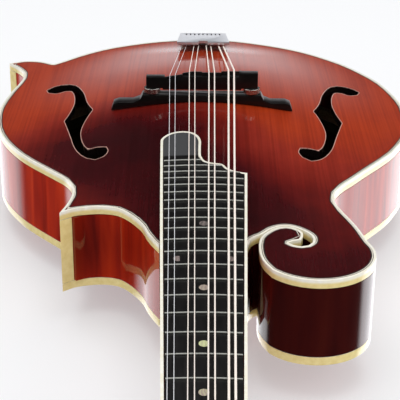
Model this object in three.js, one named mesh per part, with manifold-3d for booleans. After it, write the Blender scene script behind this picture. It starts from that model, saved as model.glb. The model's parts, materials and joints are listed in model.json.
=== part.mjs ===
// A mandola with a carved top and back, a scroll, two points and a floating bridge.
// Lengths are millimetres and angles are degrees. Three frames hold the pieces:
// the neck frame has x across (+ to the bass side), y from the nut to the tail and z up from
// the crown of the fingerboard; the body frame starts where the neck joins, z up from the edge
// of the top; the head frame starts behind the nut, z up from the wood of the headstock.
import * as THREE from "three";
import { mergeVertices } from "three/addons/utils/BufferGeometryUtils.js";
import Module from "manifold-3d";

const wasm = await Module();
wasm.setup();

// Driving sizes of the whole instrument
const scaleLength = 432;
const fretCount = 23;
const joinFret = 15;
const nutWidth = 32.8;
const joinWidth = 47.7;
const bodyWidth = 281;
const bodyReach = 358.5;
const edgeDepth = 51.5;
const neckAngle = 4.9;
const rimDrop = 13;
const fitGap = 0.3;
const cutOverrun = 40;
const cutMargin = 1;

const fretPlace = (fret) => scaleLength * (1 - 2 ** (-fret / 12));
const radians = THREE.MathUtils.degToRad;
const joinPlace = fretPlace(joinFret);
const bridgePlace = (scaleLength - joinPlace) / Math.cos(radians(neckAngle));
const boardWidthAt = (y) => nutWidth + ((joinWidth - nutWidth) * y) / joinPlace;
const bodyHalf = bodyWidth / 2;
const wideOut = bodyWidth + bodyReach;

// The frames, nested as the instrument is: the head on the neck, the neck and the body side by side
const mandola = new THREE.Group();
const neckFrame = new THREE.Group();
const bodyFrame = new THREE.Group();
const headFrame = new THREE.Group();
mandola.add(neckFrame);
neckFrame.add(bodyFrame, headFrame);
bodyFrame.position.set(0, joinPlace, -rimDrop);
bodyFrame.rotation.x = -radians(neckAngle);

// Finishes
const finish = (color, roughness, metalness = 0) => ({ color, roughness, metalness });
const sunburst = finish(0x5e120d, 0.18);
const flamedMaple = finish(0x9a2410, 0.18);
const bareSpruce = finish(0xd8b98a, 0.75);
const bareMaple = finish(0xd9bd93, 0.7);
const ivoroid = finish(0xeee6c4, 0.35);
const ebony = finish(0x15120f, 0.4);
const bone = finish(0xece4cf, 0.45);
const nickel = finish(0xc9c9c4, 0.25, 1);
const chrome = finish(0xd8dadc, 0.12, 1);
const steel = finish(0xb9bbbd, 0.3, 1);
const bronze = finish(0xc99a7a, 0.35, 1);
const pearl = finish(0xe9e4da, 0.3);

function piece(frame, name, geometry, look) {
  const mesh = new THREE.Mesh(geometry, new THREE.MeshStandardMaterial(look));
  mesh.name = name;
  frame.add(mesh);
  return mesh;
}

// Solids for joins and cuts
function solidOf(geometry) {
  const bare = geometry.index ? geometry.toNonIndexed() : geometry.clone();
  for (const name of Object.keys(bare.attributes)) {
    if (name !== "position") bare.deleteAttribute(name);
  }
  const merged = mergeVertices(bare, 1e-4);
  return new wasm.Manifold(
    new wasm.Mesh({
      numProp: 3,
      vertProperties: merged.attributes.position.array,
      triVerts: new Uint32Array(merged.index.array),
    }),
  );
}

function geometryOf(solid) {
  const mesh = solid.getMesh();
  const geometry = new THREE.BufferGeometry();
  const places = new THREE.BufferAttribute(new Float32Array(mesh.vertProperties), 3);
  geometry.setAttribute("position", places);
  geometry.setIndex(new THREE.BufferAttribute(new Uint32Array(mesh.triVerts), 1));
  const flat = geometry.toNonIndexed();
  flat.computeVertexNormals();
  return flat;
}

// A flat outline drawn in x and y, raised from one z to another
function slab(points, low, high, hole) {
  const shape = new THREE.Shape(points);
  if (hole) shape.holes.push(new THREE.Path([...hole].reverse()));
  const options = { depth: high - low, bevelEnabled: false };
  return new THREE.ExtrudeGeometry(shape, options).translate(0, 0, low);
}

// An outline drawn in x and z, as seen from the nut, stretched from one y to another
function crossSlab(points, near, far) {
  return slab(points, -far, -near).rotateX(Math.PI / 2);
}

// An outline drawn in y and z, as seen from the side, stretched from one x to another
function sideSlab(points, left, right) {
  const turned = new THREE.Matrix4().set(0, 0, 1, 0, 1, 0, 0, 0, 0, 1, 0, 0, 0, 0, 0, 1);
  return slab(points, left, right).applyMatrix4(turned);
}

function block(x0, x1, y0, y1, z0, z1) {
  const box = new THREE.BoxGeometry(x1 - x0, y1 - y0, z1 - z0);
  return box.translate((x0 + x1) / 2, (y0 + y1) / 2, (z0 + z1) / 2);
}

// A round piece along z: its profile lists radius and height
function turning(profile, sides) {
  const points = profile.map(([radius, height]) => new THREE.Vector2(radius, height));
  return new THREE.LatheGeometry(points, sides).rotateX(Math.PI / 2);
}

function rod(radius, low, high, sides) {
  return turning([[0, low], [radius, low], [radius, high], [0, high]], sides);
}

// A skin over rings of points that all have the same count, closed at both ends
function loft(rings) {
  const count = rings[0].length;
  const index = [];
  const places = rings.flat();
  for (let r = 0; r + 1 < rings.length; r += 1) {
    for (let i = 0; i < count; i += 1) {
      const a = r * count + i;
      const b = r * count + ((i + 1) % count);
      index.push(a, b, b + count, a, b + count, a + count);
    }
  }
  const last = (rings.length - 1) * count;
  for (let i = 1; i + 1 < count; i += 1) {
    index.push(0, i + 1, i, last, last + i, last + i + 1);
  }
  const geometry = new THREE.BufferGeometry().setFromPoints(places);
  geometry.setIndex(index);
  return geometry;
}

// A value read from a table of places and values, smooth between its rows
function alongTable(table, at) {
  const last = table.length - 1;
  if (at <= table[0][0]) return table[0][1];
  if (at >= table[last][0]) return table[last][1];
  const k = table.findIndex(([place]) => place > at) - 1;
  const slope = (i) => {
    const from = table[Math.max(i - 1, 0)];
    const to = table[Math.min(i + 1, last)];
    return (to[1] - from[1]) / (to[0] - from[0]);
  };
  const [x0, y0] = table[k];
  const [x1, y1] = table[k + 1];
  const span = x1 - x0;
  const t = (at - x0) / span;
  const rise = (3 - 2 * t) * t * t;
  const leave = t * (1 - t) ** 2 * span * slope(k);
  const arrive = t * t * (t - 1) * span * slope(k + 1);
  return y0 + (y1 - y0) * rise + leave + arrive;
}

// Outline of the body, seen from the front, clockwise from the treble side of the neck
const neckGap = 0.6;
const heelFace = -9;
const scrollRadiusShare = 0.2294;
const scrollCentreShare = [0.433, -0.043];
const pointTrim = 9;
const edgeStep = 12.5;
const curlStep = 4.4;
const cutawayShare = [
  [-0.217, 0.011], [-0.235, 0.036], [-0.269, 0.065], [-0.32, 0.094], [-0.37, 0.11], [-0.436, 0.113],
  [-0.507, 0.108], [-0.563, 0.098], [-0.588, 0.088],
];
const trebleShare = [
  [-0.588, 0.088], [-0.573, 0.11], [-0.559, 0.137], [-0.553, 0.172], [-0.57, 0.201], [-0.607, 0.227],
  [-0.733, 0.285], [-0.814, 0.324], [-0.889, 0.372], [-0.941, 0.417], [-0.981, 0.474], [-1, 0.556],
  [-0.98, 0.642], [-0.958, 0.691], [-0.944, 0.724], [-0.949, 0.758], [-0.97, 0.786], [-1.049, 0.826],
];
const tailShare = [
  [-1.049, 0.826], [-1.022, 0.833], [-0.998, 0.839], [-0.943, 0.845], [-0.881, 0.84], [-0.838, 0.83],
  [-0.809, 0.823], [-0.787, 0.829], [-0.738, 0.855], [-0.675, 0.883], [-0.591, 0.915], [-0.504, 0.94],
  [-0.416, 0.959], [-0.326, 0.975], [-0.188, 0.992], [0, 1], [0.177, 0.992], [0.309, 0.973],
  [0.444, 0.947], [0.575, 0.911], [0.698, 0.862], [0.777, 0.823], [0.85, 0.775], [0.919, 0.718],
  [0.97, 0.641], [0.991, 0.572], [0.979, 0.515], [0.969, 0.46], [0.93, 0.407], [0.86, 0.349],
  [0.805, 0.316], [0.719, 0.27], [0.638, 0.225], [0.59, 0.199], [0.56, 0.175], [0.549, 0.155],
  [0.55, 0.132], [0.566, 0.107], [0.593, 0.074], [0.618, 0.04],
];
const tongueShare = [
  [-0.766, -0.643], [-0.883, -0.39], [-0.94, -0.143], [-0.955, 0.12], [-0.94, 0.36], [-0.895, 0.575],
  [-0.81, 0.71], [-0.711, 0.842], [-0.59, 0.935], [-0.448, 0.972], [-0.32, 0.93], [-0.231, 0.85],
  [-0.172, 0.74], [-0.18, 0.583], [-0.215, 0.47], [-0.3, 0.43], [-0.407, 0.41], [-0.452, 0.351],
];
const eyeShare = [
  [-0.452, 0.351], [-0.368, 0.262], [-0.25, 0.212], [-0.127, 0.239], [-0.045, 0.33], [-0.01, 0.47],
  [-0.03, 0.63], [-0.1, 0.752], [-0.205, 0.874], [-0.31, 0.955], [-0.444, 1.004], [-0.6, 0.963],
  [-0.729, 0.868], [-0.83, 0.73], [-0.905, 0.64], [-1, 0.57], [-1.08, 0.46], [-1.12, 0.3],
];
const scrollStartAngle = 24;
const scrollEndAngle = -140;
const scrollSteps = 10;

const bodyPoint = ([x, y]) => new THREE.Vector2(x * bodyHalf, y * bodyReach);
const scrollCentre = bodyPoint(scrollCentreShare);
const scrollRadius = scrollRadiusShare * bodyHalf;
const scrollPoint = ([x, y]) =>
  new THREE.Vector2(x, y).multiplyScalar(scrollRadius).add(scrollCentre);

function smoothRun(points, step) {
  const curve = new THREE.SplineCurve(points);
  return curve.getSpacedPoints(Math.max(2, Math.round(curve.getLength() / step)));
}

// Cuts a run short by a distance at its start or its end
function trimmed(run, distance, atStart) {
  const tip = atStart ? run[0] : run[run.length - 1];
  const kept = run.filter((point) => point.distanceTo(tip) > distance);
  const near = atStart ? kept[0] : kept[kept.length - 1];
  const cut = tip.clone().lerp(near, distance / tip.distanceTo(near));
  return atStart ? [cut, ...kept] : [...kept, cut];
}

const neckHalfAtBody = boardWidthAt(joinPlace + heelFace) / 2 + neckGap;
const cutawayRun = smoothRun(
  [new THREE.Vector2(-neckHalfAtBody, heelFace), ...cutawayShare.map(bodyPoint)], edgeStep * 0.7);
const trebleRun = smoothRun(trebleShare.map(bodyPoint), edgeStep);
const tailRun = smoothRun(tailShare.map(bodyPoint), edgeStep);
const scrollRun = [];
for (let i = 0; i <= scrollSteps; i += 1) {
  const sweep = scrollStartAngle + ((scrollEndAngle - scrollStartAngle) * i) / scrollSteps;
  scrollRun.push(scrollPoint([Math.cos(radians(sweep)), Math.sin(radians(sweep))]));
}
const tongueRun = smoothRun(tongueShare.map(scrollPoint), curlStep).slice(1);
const eyeRun = smoothRun(
  [...eyeShare.map(scrollPoint), new THREE.Vector2(neckHalfAtBody, heelFace)], curlStep).slice(1);

function bodyOutline(pointCut) {
  const upperSide = pointCut ? trimmed(cutawayRun, pointCut, false) : cutawayRun;
  const lowerStart = pointCut ? trimmed(trebleRun, pointCut, true) : trebleRun.slice(1);
  const trebleSide = pointCut ? trimmed(lowerStart, pointCut, false) : lowerStart;
  const tailSide = pointCut ? trimmed(tailRun, pointCut, true) : tailRun.slice(1);
  return [...upperSide, ...trebleSide, ...tailSide, ...scrollRun, ...tongueRun, ...eyeRun];
}

function distanceToOutline(point, outline) {
  let nearest = Infinity;
  const foot = new THREE.Vector3();
  const at = new THREE.Vector3(point.x, point.y, 0);
  outline.forEach((from, i) => {
    const to = outline[(i + 1) % outline.length];
    const edge = new THREE.Line3(new THREE.Vector3(from.x, from.y, 0), new THREE.Vector3(to.x, to.y, 0));
    edge.closestPointToPoint(at, true, foot);
    nearest = Math.min(nearest, foot.distanceTo(at));
  });
  return nearest;
}

// The outline drawn in by a distance; the inside lies to the right of each edge
function inset(outline, distance) {
  const count = outline.length;
  const inward = (from, to) => {
    const along = to.clone().sub(from).normalize();
    return new THREE.Vector2(along.y, -along.x);
  };
  const moved = [];
  outline.forEach((here, i) => {
    const before = inward(outline[(i + count - 1) % count], here);
    const after = inward(here, outline[(i + 1) % count]);
    const opens = before.cross(after) > 0.5;
    const ways = opens ? [before, after] : [before.clone().add(after).divideScalar(1 + before.dot(after))];
    ways.forEach((way) => moved.push(here.clone().addScaledVector(way, distance)));
  });
  return moved.filter((point) => distanceToOutline(point, outline) > distance * 0.985);
}

// Arching of the plates
const topArch = 13.6;
const backArch = 14;
const plateEdge = 4.9;
const hollowShare = 0.9;
const archCrossPower = 2.2;
const archGrid = 19;
const archWidthShare = [
  [-0.04, 0.1], [0.06, 0.3], [0.17, 0.5], [0.34, 0.78], [0.54, 0.95], [0.73, 0.88], [0.89, 0.64],
  [0.97, 0.3], [1, 0.1],
];
const archHeightShare = [
  [-0.04, 0], [0.06, 0.2], [0.17, 0.5], [0.34, 0.86], [0.52, 1], [0.71, 0.88], [0.86, 0.46],
  [0.94, 0.12], [1, 0],
];

function archAt(x, y) {
  const along = y / bodyReach;
  const across = Math.min(Math.abs(x) / (bodyHalf * alongTable(archWidthShare, along)), 1);
  const fall = Math.max(Math.cos((Math.PI / 2) * across), 0) ** archCrossPower;
  return Math.max(alongTable(archHeightShare, along), 0) * fall;
}
const topOuter = (x, y) => topArch * archAt(x, y);
const topInner = (x, y) => hollowShare * topArch * archAt(x, y) - plateEdge;
const backOuter = (x, y) => -edgeDepth - backArch * archAt(x, y);
const backInner = (x, y) => plateEdge - edgeDepth - hollowShare * backArch * archAt(x, y);

// A block between two curved surfaces, over the whole plan of the body
function betweenSurfaces(low, high, step = archGrid) {
  const reachX = bodyHalf * 1.12;
  const nearY = scrollCentre.y - scrollRadius * 1.1;
  const farY = bodyReach * 1.04;
  const columns = 2 * Math.round(reachX / step);
  const rows = Math.round((farY - nearY) / step);
  const places = [];
  const index = [];
  for (const surface of [low, high]) {
    for (let r = 0; r <= rows; r += 1) {
      for (let c = 0; c <= columns; c += 1) {
        const x = -reachX + (2 * reachX * c) / columns;
        const y = nearY + ((farY - nearY) * r) / rows;
        places.push(new THREE.Vector3(x, y, surface(x, y)));
      }
    }
  }
  const at = (layer, r, c) => layer * (rows + 1) * (columns + 1) + r * (columns + 1) + c;
  const quad = (a, b, c, d) => index.push(a, b, c, a, c, d);
  for (let r = 0; r < rows; r += 1) {
    for (let c = 0; c < columns; c += 1) {
      quad(at(0, r, c), at(0, r + 1, c), at(0, r + 1, c + 1), at(0, r, c + 1));
      quad(at(1, r, c), at(1, r, c + 1), at(1, r + 1, c + 1), at(1, r + 1, c));
    }
    quad(at(0, r, 0), at(1, r, 0), at(1, r + 1, 0), at(0, r + 1, 0));
    quad(at(0, r, columns), at(0, r + 1, columns), at(1, r + 1, columns), at(1, r, columns));
  }
  for (let c = 0; c < columns; c += 1) {
    quad(at(0, 0, c), at(0, 0, c + 1), at(1, 0, c + 1), at(1, 0, c));
    quad(at(0, rows, c), at(1, rows, c), at(1, rows, c + 1), at(0, rows, c + 1));
  }
  const geometry = new THREE.BufferGeometry().setFromPoints(places);
  geometry.setIndex(index);
  return solidOf(geometry);
}

// The f-holes: two curves that meet at the notches, for the treble side, mirrored for the bass
const fHoleLengthShare = 0.3822;
const fHoleCentreShare = [0.5907, 0.4842];
const fHoleTailShare = [
  [-0.074, -0.02], [-0.052, 0.103], [-0.045, 0.23], [-0.062, 0.36], [-0.097, 0.425], [-0.142, 0.39],
  [-0.19, 0.4], [-0.212, 0.445], [-0.183, 0.497], [-0.12, 0.53], [-0.062, 0.49], [-0.012, 0.355],
  [0.018, 0.203], [0.056, 0.085],
];
const fHoleHeadShare = [
  [0.056, 0.085], [0.03, -0.043], [0.018, -0.174], [0.034, -0.293], [0.068, -0.384],
  [0.105, -0.377], [0.142, -0.37], [0.166, -0.415], [0.149, -0.478], [0.106, -0.5], [0.051, -0.45],
  [0.007, -0.355], [-0.028, -0.21], [-0.074, -0.02],
];
const fHoleStep = 6.5;

function fHole(side) {
  const length = fHoleLengthShare * bodyReach;
  const centre = bodyPoint(fHoleCentreShare);
  const place = ([x, y]) => new THREE.Vector2(side * (centre.x - x * length), centre.y + y * length);
  const tailHalf = smoothRun(fHoleTailShare.map(place), fHoleStep);
  const headHalf = smoothRun(fHoleHeadShare.map(place), fHoleStep);
  return solidOf(slab([...tailHalf, ...headHalf.slice(1, -1)], -cutOverrun, cutOverrun));
}

// Body shell: plates, sides, bindings and point protectors
const sideWall = 2.3;
const bindingWidth = 1.4;
const plateInset = bindingWidth + fitGap;
const sideTop = -plateEdge - fitGap;
const sideFoot = plateEdge + fitGap - edgeDepth;
const sharpOutline = bodyOutline(0);
const bluntOutline = bodyOutline(pointTrim);
const plateOutline = inset(sharpOutline, plateInset);
const linerOutline = inset(bluntOutline, sideWall + fitGap);
const heelBox = solidOf(
  block(-neckHalfAtBody, neckHalfAtBody, heelFace - cutOverrun, heelFace + sideWall + fitGap,
    -edgeDepth - cutOverrun, cutOverrun));

const topPlate = betweenSurfaces(topInner, topOuter)
  .intersect(solidOf(slab(plateOutline, -cutOverrun, cutOverrun)))
  .subtract(fHole(-1))
  .subtract(fHole(1));
piece(bodyFrame, "top_plate", geometryOf(topPlate), sunburst);

const backPlate = betweenSurfaces(backOuter, backInner)
  .intersect(solidOf(slab(plateOutline, -edgeDepth - cutOverrun, 0)));
piece(bodyFrame, "back_plate", geometryOf(backPlate), flamedMaple);

// The binding strips run round the edge from one side of the neck to the other
const bindingSlab = (low, high) =>
  solidOf(slab(sharpOutline, low, high, inset(sharpOutline, bindingWidth))).subtract(heelBox);
piece(bodyFrame, "top_binding", geometryOf(bindingSlab(-plateEdge, 0)), ivoroid);
piece(bodyFrame, "back_binding", geometryOf(bindingSlab(-edgeDepth, plateEdge - edgeDepth)), ivoroid);

const buttonPlace = -edgeDepth / 2;
const pegRadius = 4.2;
const endPegSides = 12;
const pegHole = solidOf(
  rod(pegRadius + fitGap, -cutOverrun, cutOverrun, endPegSides)
    .rotateX(-Math.PI / 2)
    .translate(0, bodyReach, buttonPlace));
const ribs = solidOf(slab(bluntOutline, sideFoot, sideTop, inset(bluntOutline, sideWall)))
  .subtract(heelBox)
  .subtract(pegHole);
piece(bodyFrame, "sides", geometryOf(ribs), flamedMaple);

// A protector fills the tip that the sides leave open at a point
function protector(tip) {
  const reach = pointTrim * 1.05;
  const nearTip = solidOf(
    block(tip.x - reach, tip.x + reach, tip.y - reach, tip.y + reach, sideFoot, sideTop));
  const bluntWithGap = solidOf(slab(inset(bluntOutline, -fitGap), sideFoot - fitGap, sideTop + fitGap));
  return solidOf(slab(sharpOutline, sideFoot, sideTop)).intersect(nearTip).subtract(bluntWithGap);
}
const upperTip = cutawayRun[cutawayRun.length - 1];
const lowerTip = trebleRun[trebleRun.length - 1];
piece(bodyFrame, "upper_point_protector", geometryOf(protector(upperTip)), ivoroid);
piece(bodyFrame, "lower_point_protector", geometryOf(protector(lowerTip)), ivoroid);

// Inner frame: blocks, linings and tone bars
const neckBlockReach = 30;
const tailBlockHalf = 30;
const tailBlockDepth = 18;
const liningWidth = 5;
const liningHeight = 8;
const pointBlockReach = 26;
const pointBlockSides = 12;

const innerRegion = solidOf(slab(linerOutline, sideFoot, sideTop));
const tailBlockFace = bodyReach - sideWall - fitGap - tailBlockDepth;

// The dovetail on the heel and its mortise in the neck block
const dovetailLength = 16;
const dovetailRoot = 13;
const dovetailFlare = 18;
const dovetailFoot = -edgeDepth * 0.8;
function dovetail(clearance) {
  const near = heelFace - fitGap - (clearance ? cutOverrun : 0);
  const far = heelFace + sideWall + dovetailLength + clearance;
  const points = [
    [-dovetailRoot / 2 - clearance, near], [dovetailRoot / 2 + clearance, near],
    [dovetailFlare / 2 + clearance, far], [-dovetailFlare / 2 - clearance, far],
  ].map(([x, y]) => new THREE.Vector2(x, y));
  const head = clearance ? cutOverrun : sideTop - fitGap;
  return solidOf(slab(points, dovetailFoot - clearance, head));
}

const neckBlock = innerRegion
  .intersect(solidOf(block(-wideOut, wideOut, -wideOut, neckBlockReach, -edgeDepth, 0)))
  .subtract(heelBox)
  .subtract(dovetail(fitGap));
piece(bodyFrame, "neck_block", geometryOf(neckBlock), bareMaple);

const tailBlock = innerRegion
  .intersect(solidOf(block(-tailBlockHalf, tailBlockHalf, tailBlockFace, bodyReach, -edgeDepth, 0)))
  .subtract(pegHole);
piece(bodyFrame, "tail_block", geometryOf(tailBlock), bareMaple);

const liningInner = inset(bluntOutline, sideWall + fitGap + liningWidth);
const pastNeckBlock = neckBlockReach + fitGap;
const pastTailBlock = tailBlockHalf + fitGap;
const liningFor = {
  treble: solidOf(block(-wideOut, -pastTailBlock, pastNeckBlock, wideOut * 2, -wideOut, wideOut)),
  bass: solidOf(block(pastTailBlock, wideOut, pastNeckBlock, wideOut * 2, -wideOut, wideOut)),
};
const liningSpans = {
  top: [sideTop - liningHeight, sideTop],
  back: [sideFoot, sideFoot + liningHeight],
};
for (const [level, [low, high]] of Object.entries(liningSpans)) {
  const ring = solidOf(slab(linerOutline, low, high, liningInner));
  for (const [side, half] of Object.entries(liningFor)) {
    piece(bodyFrame, `${level}_lining_${side}`, geometryOf(ring.intersect(half)), bareSpruce);
  }
}

// The point blocks fill the points behind the sides; the linings run through their rebates
const liningChannel = (low, high) => {
  const outer = inset(bluntOutline, sideWall * 0.5);
  const inner = inset(liningInner, fitGap);
  return solidOf(slab(outer, low, high, inner));
};
const topChannel = liningChannel(sideTop - liningHeight - fitGap, cutOverrun);
const backChannel = liningChannel(-wideOut, sideFoot + liningHeight + fitGap);
function pointBlock(tip) {
  const nearTip = solidOf(
    rod(pointBlockReach, -wideOut, 0, pointBlockSides).translate(tip.x, tip.y, 0));
  return innerRegion.intersect(nearTip).subtract(topChannel).subtract(backChannel);
}
piece(bodyFrame, "upper_point_block", geometryOf(pointBlock(upperTip)), bareMaple);
piece(bodyFrame, "lower_point_block", geometryOf(pointBlock(lowerTip)), bareMaple);

const barThickness = 6;
const barDepth = 11;
const barSpread = 24;
const barSlant = 5;
const barStartShare = 0.181;
const barEndShare = 0.82;
const barStart = barStartShare * bodyReach;
const barEnd = barEndShare * bodyReach;
const barSteps = 14;
function toneBar(side) {
  const upper = [];
  const lower = [];
  for (let i = 0; i <= barSteps; i += 1) {
    const share = i / barSteps;
    const y = barStart + (barEnd - barStart) * share;
    const x = barSpread + barSlant * share;
    const outerFace = side * (x + barThickness / 2);
    const skin = Math.min(topInner(side * (x - barThickness / 2), y), topInner(outerFace, y));
    const top = skin - 2 * fitGap;
    upper.push([x, y, top]);
    lower.push([x, y, top - barDepth * (0.3 + 0.7 * Math.sin(Math.PI * share))]);
  }
  const rings = upper.map(([x, y, top], i) => {
    const foot = lower[i][2];
    const left = side * x - barThickness / 2;
    const right = side * x + barThickness / 2;
    return [[left, foot], [right, foot], [right, top], [left, top]]
      .map(([across, height]) => new THREE.Vector3(across, y, height));
  });
  return loft(rings.reverse());
}
piece(bodyFrame, "tone_bar_treble", toneBar(-1), bareSpruce);
piece(bodyFrame, "tone_bar_bass", toneBar(1), bareSpruce);

// End button, turned, in the tail block
const buttonRadius = 8;
const buttonNeckRadius = 5;
const buttonNeck = 5;
const buttonHead = 6;
const buttonEdge = 1.5;
const tailpiecePlate = 2.2;
const buttonSeat = tailpiecePlate + 2 * fitGap;
const endButton = turning([
  [0, -tailBlockDepth], [pegRadius * 0.85, -tailBlockDepth], [pegRadius, buttonSeat],
  [buttonNeckRadius, buttonSeat], [buttonNeckRadius, buttonSeat + buttonNeck],
  [buttonRadius, buttonSeat + buttonNeck + buttonEdge],
  [buttonRadius, buttonSeat + buttonNeck + buttonHead - buttonEdge],
  [buttonRadius - buttonEdge, buttonSeat + buttonNeck + buttonHead],
  [0, buttonSeat + buttonNeck + buttonHead],
], endPegSides).rotateX(-Math.PI / 2).translate(0, bodyReach, buttonPlace);
piece(bodyFrame, "end_button", endButton, ebony);

// Bridge: arched base, two posts with thumbwheels, and a saddle stepped for intonation
const bridgeShift = -1;
const baseHalf = 61;
const baseThickness = 10;
const baseCrownHeight = 18.7;
const shoulderHeight = 19;
const wingHeight = 13.4;
const footTipDrop = 1.4;
const footTipLength = 5;
const shoulderHalf = 39.4;
const shoulderRun = 7;
const baseSteps = 12;
const wheelRadius = 5.6;
const wheelThickness = 3.4;
const wheelFoot = 19.3;
const postSpread = 33.4;
const postRadius = 1.5;
const postTop = 27.2;
const postSeat = 14.4;
const boreClearance = 0.35;
const boreHeadroom = 1.4;
const saddleHalf = 37.4;
const saddleFoot = 22;
const saddleEndFoot = wheelFoot + wheelThickness + fitGap;
const saddleEndRun = 11;
const saddleThickness = 6.4;
const saddleCrown = 33.6;
const trebleCrown = 30.4;
const trebleCrownEnd = 25.4;
const crownLevelStart = 6.6;
const saddleBlockTreble = 30.5;
const saddleBlockBass = 33.4;
const saddleBlockRun = 10.5;
const roundSides = 14;

const baseUnderside = (x) => topOuter(x, bridgePlace) + 2 * fitGap;
const baseOutline = [];
for (let i = 0; i <= baseSteps; i += 1) {
  const x = -baseHalf + (2 * baseHalf * i) / baseSteps;
  baseOutline.push([x, baseUnderside(x)]);
}
const baseTopHalf = [
  [baseHalf, wingHeight - footTipLength], [baseHalf - footTipDrop, wingHeight - footTipDrop],
  [baseHalf - footTipLength, wingHeight], [shoulderHalf + shoulderRun, wingHeight],
  [shoulderHalf + shoulderRun / 3, wingHeight + (shoulderHeight - wingHeight) / 3],
  [shoulderHalf + fitGap, shoulderHeight], [shoulderHalf, baseCrownHeight],
];
baseOutline.push(...baseTopHalf, ...baseTopHalf.map(([x, z]) => [-x, z]).reverse());
const vectors = (pairs, shiftX = 0) => pairs.map(([x, y]) => new THREE.Vector2(x + shiftX, y));
const bridgeNear = bridgePlace - baseThickness / 2;
const bridgeFar = bridgePlace + baseThickness / 2;
const postPlace = (side) => [bridgeShift + side * postSpread, bridgePlace];
const postHole = (side, low, high) =>
  solidOf(rod(postRadius + boreClearance, low, high, roundSides)
    .translate(...postPlace(side), 0));
let bridgeBase = solidOf(crossSlab(vectors(baseOutline, bridgeShift), bridgeNear, bridgeFar));
bridgeBase = bridgeBase
  .subtract(postHole(-1, postSeat - fitGap, cutOverrun))
  .subtract(postHole(1, postSeat - fitGap, cutOverrun));
piece(bodyFrame, "bridge_base", geometryOf(bridgeBase), ebony);

const saddleOutline = vectors([
  [-saddleHalf, saddleEndFoot], [-saddleHalf + saddleEndRun, saddleEndFoot],
  [-saddleHalf + saddleEndRun, saddleFoot], [saddleHalf - saddleEndRun, saddleFoot],
  [saddleHalf - saddleEndRun, saddleEndFoot], [saddleHalf, saddleEndFoot],
  [saddleHalf, saddleBlockBass], [saddleHalf - saddleBlockRun, saddleBlockBass],
  [saddleHalf - saddleBlockRun - cutMargin, saddleCrown], [-crownLevelStart, saddleCrown],
  [-trebleCrownEnd, trebleCrown], [-saddleHalf + saddleBlockRun, saddleBlockTreble],
  [-saddleHalf, saddleBlockTreble],
], bridgeShift);
// The crown rises from the treble course to the bass courses
const crownAt = (x) => THREE.MathUtils.mapLinear(
  THREE.MathUtils.clamp(x - bridgeShift, -trebleCrownEnd, -crownLevelStart),
  -trebleCrownEnd, -crownLevelStart, trebleCrown, saddleCrown);
const saddleNear = bridgePlace - saddleThickness / 2;
const saddleFar = bridgePlace + saddleThickness / 2;

// Each course bears on its own step, back from the front face of the saddle
const courseCount = 4;
const nutCoursePitch = 7.92;
const nutPairGap = 2.8;
const bridgeCoursePitch = 13.1;
const bridgePairGap = 3.7;
const tailCoursePitch = 9;
const tailPairGap = 3.5;
const stringShift = -1.1;
const nutShift = -1.2;
const tailShift = -0.5;
const stepShare = [0.15, 0.6, 0.25, 0.75];
const stepDepth = 2.6;
const stepLand = 1.2;
const courseX = (pitch, course) => (course - (courseCount - 1) / 2) * pitch;
let saddle = solidOf(crossSlab(saddleOutline, saddleNear, saddleFar));
for (let course = 0; course < courseCount; course += 1) {
  const middle = stringShift + courseX(bridgeCoursePitch, course);
  const half = bridgeCoursePitch / 2;
  const crest = saddleNear + stepShare[course] * (saddleThickness - stepLand);
  const left = course === 0 ? middle - half * 0.8 : middle - half;
  const right = course === courseCount - 1 ? middle + half * 0.8 : middle + half;
  const low = crownAt(middle) - stepDepth;
  if (crest - saddleNear > stepLand) {
    saddle = saddle.subtract(solidOf(
      block(left, right, saddleNear - cutOverrun, crest, low, saddleCrown + cutOverrun)));
  }
  saddle = saddle.subtract(solidOf(
    block(left, right, crest + stepLand, saddleFar + cutOverrun, low, saddleCrown + cutOverrun)));
}
const saddleBoreTop = postTop + boreHeadroom;
saddle = saddle
  .subtract(postHole(-1, 0, saddleBoreTop))
  .subtract(postHole(1, 0, saddleBoreTop));
piece(bodyFrame, "bridge_saddle", geometryOf(saddle), ebony);

for (const [side, sign] of [["treble", -1], ["bass", 1]]) {
  const post = rod(postRadius, postSeat, postTop, roundSides).translate(...postPlace(sign), 0);
  piece(bodyFrame, `bridge_post_${side}`, post, nickel);
  const bore = postRadius + boreClearance;
  const wheel = turning([
    [bore, wheelFoot], [wheelRadius, wheelFoot], [wheelRadius, wheelFoot + wheelThickness],
    [bore, wheelFoot + wheelThickness], [bore, wheelFoot],
  ], roundSides).translate(...postPlace(sign), 0);
  piece(bodyFrame, `thumbwheel_${side}`, wheel, nickel);
}

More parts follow.
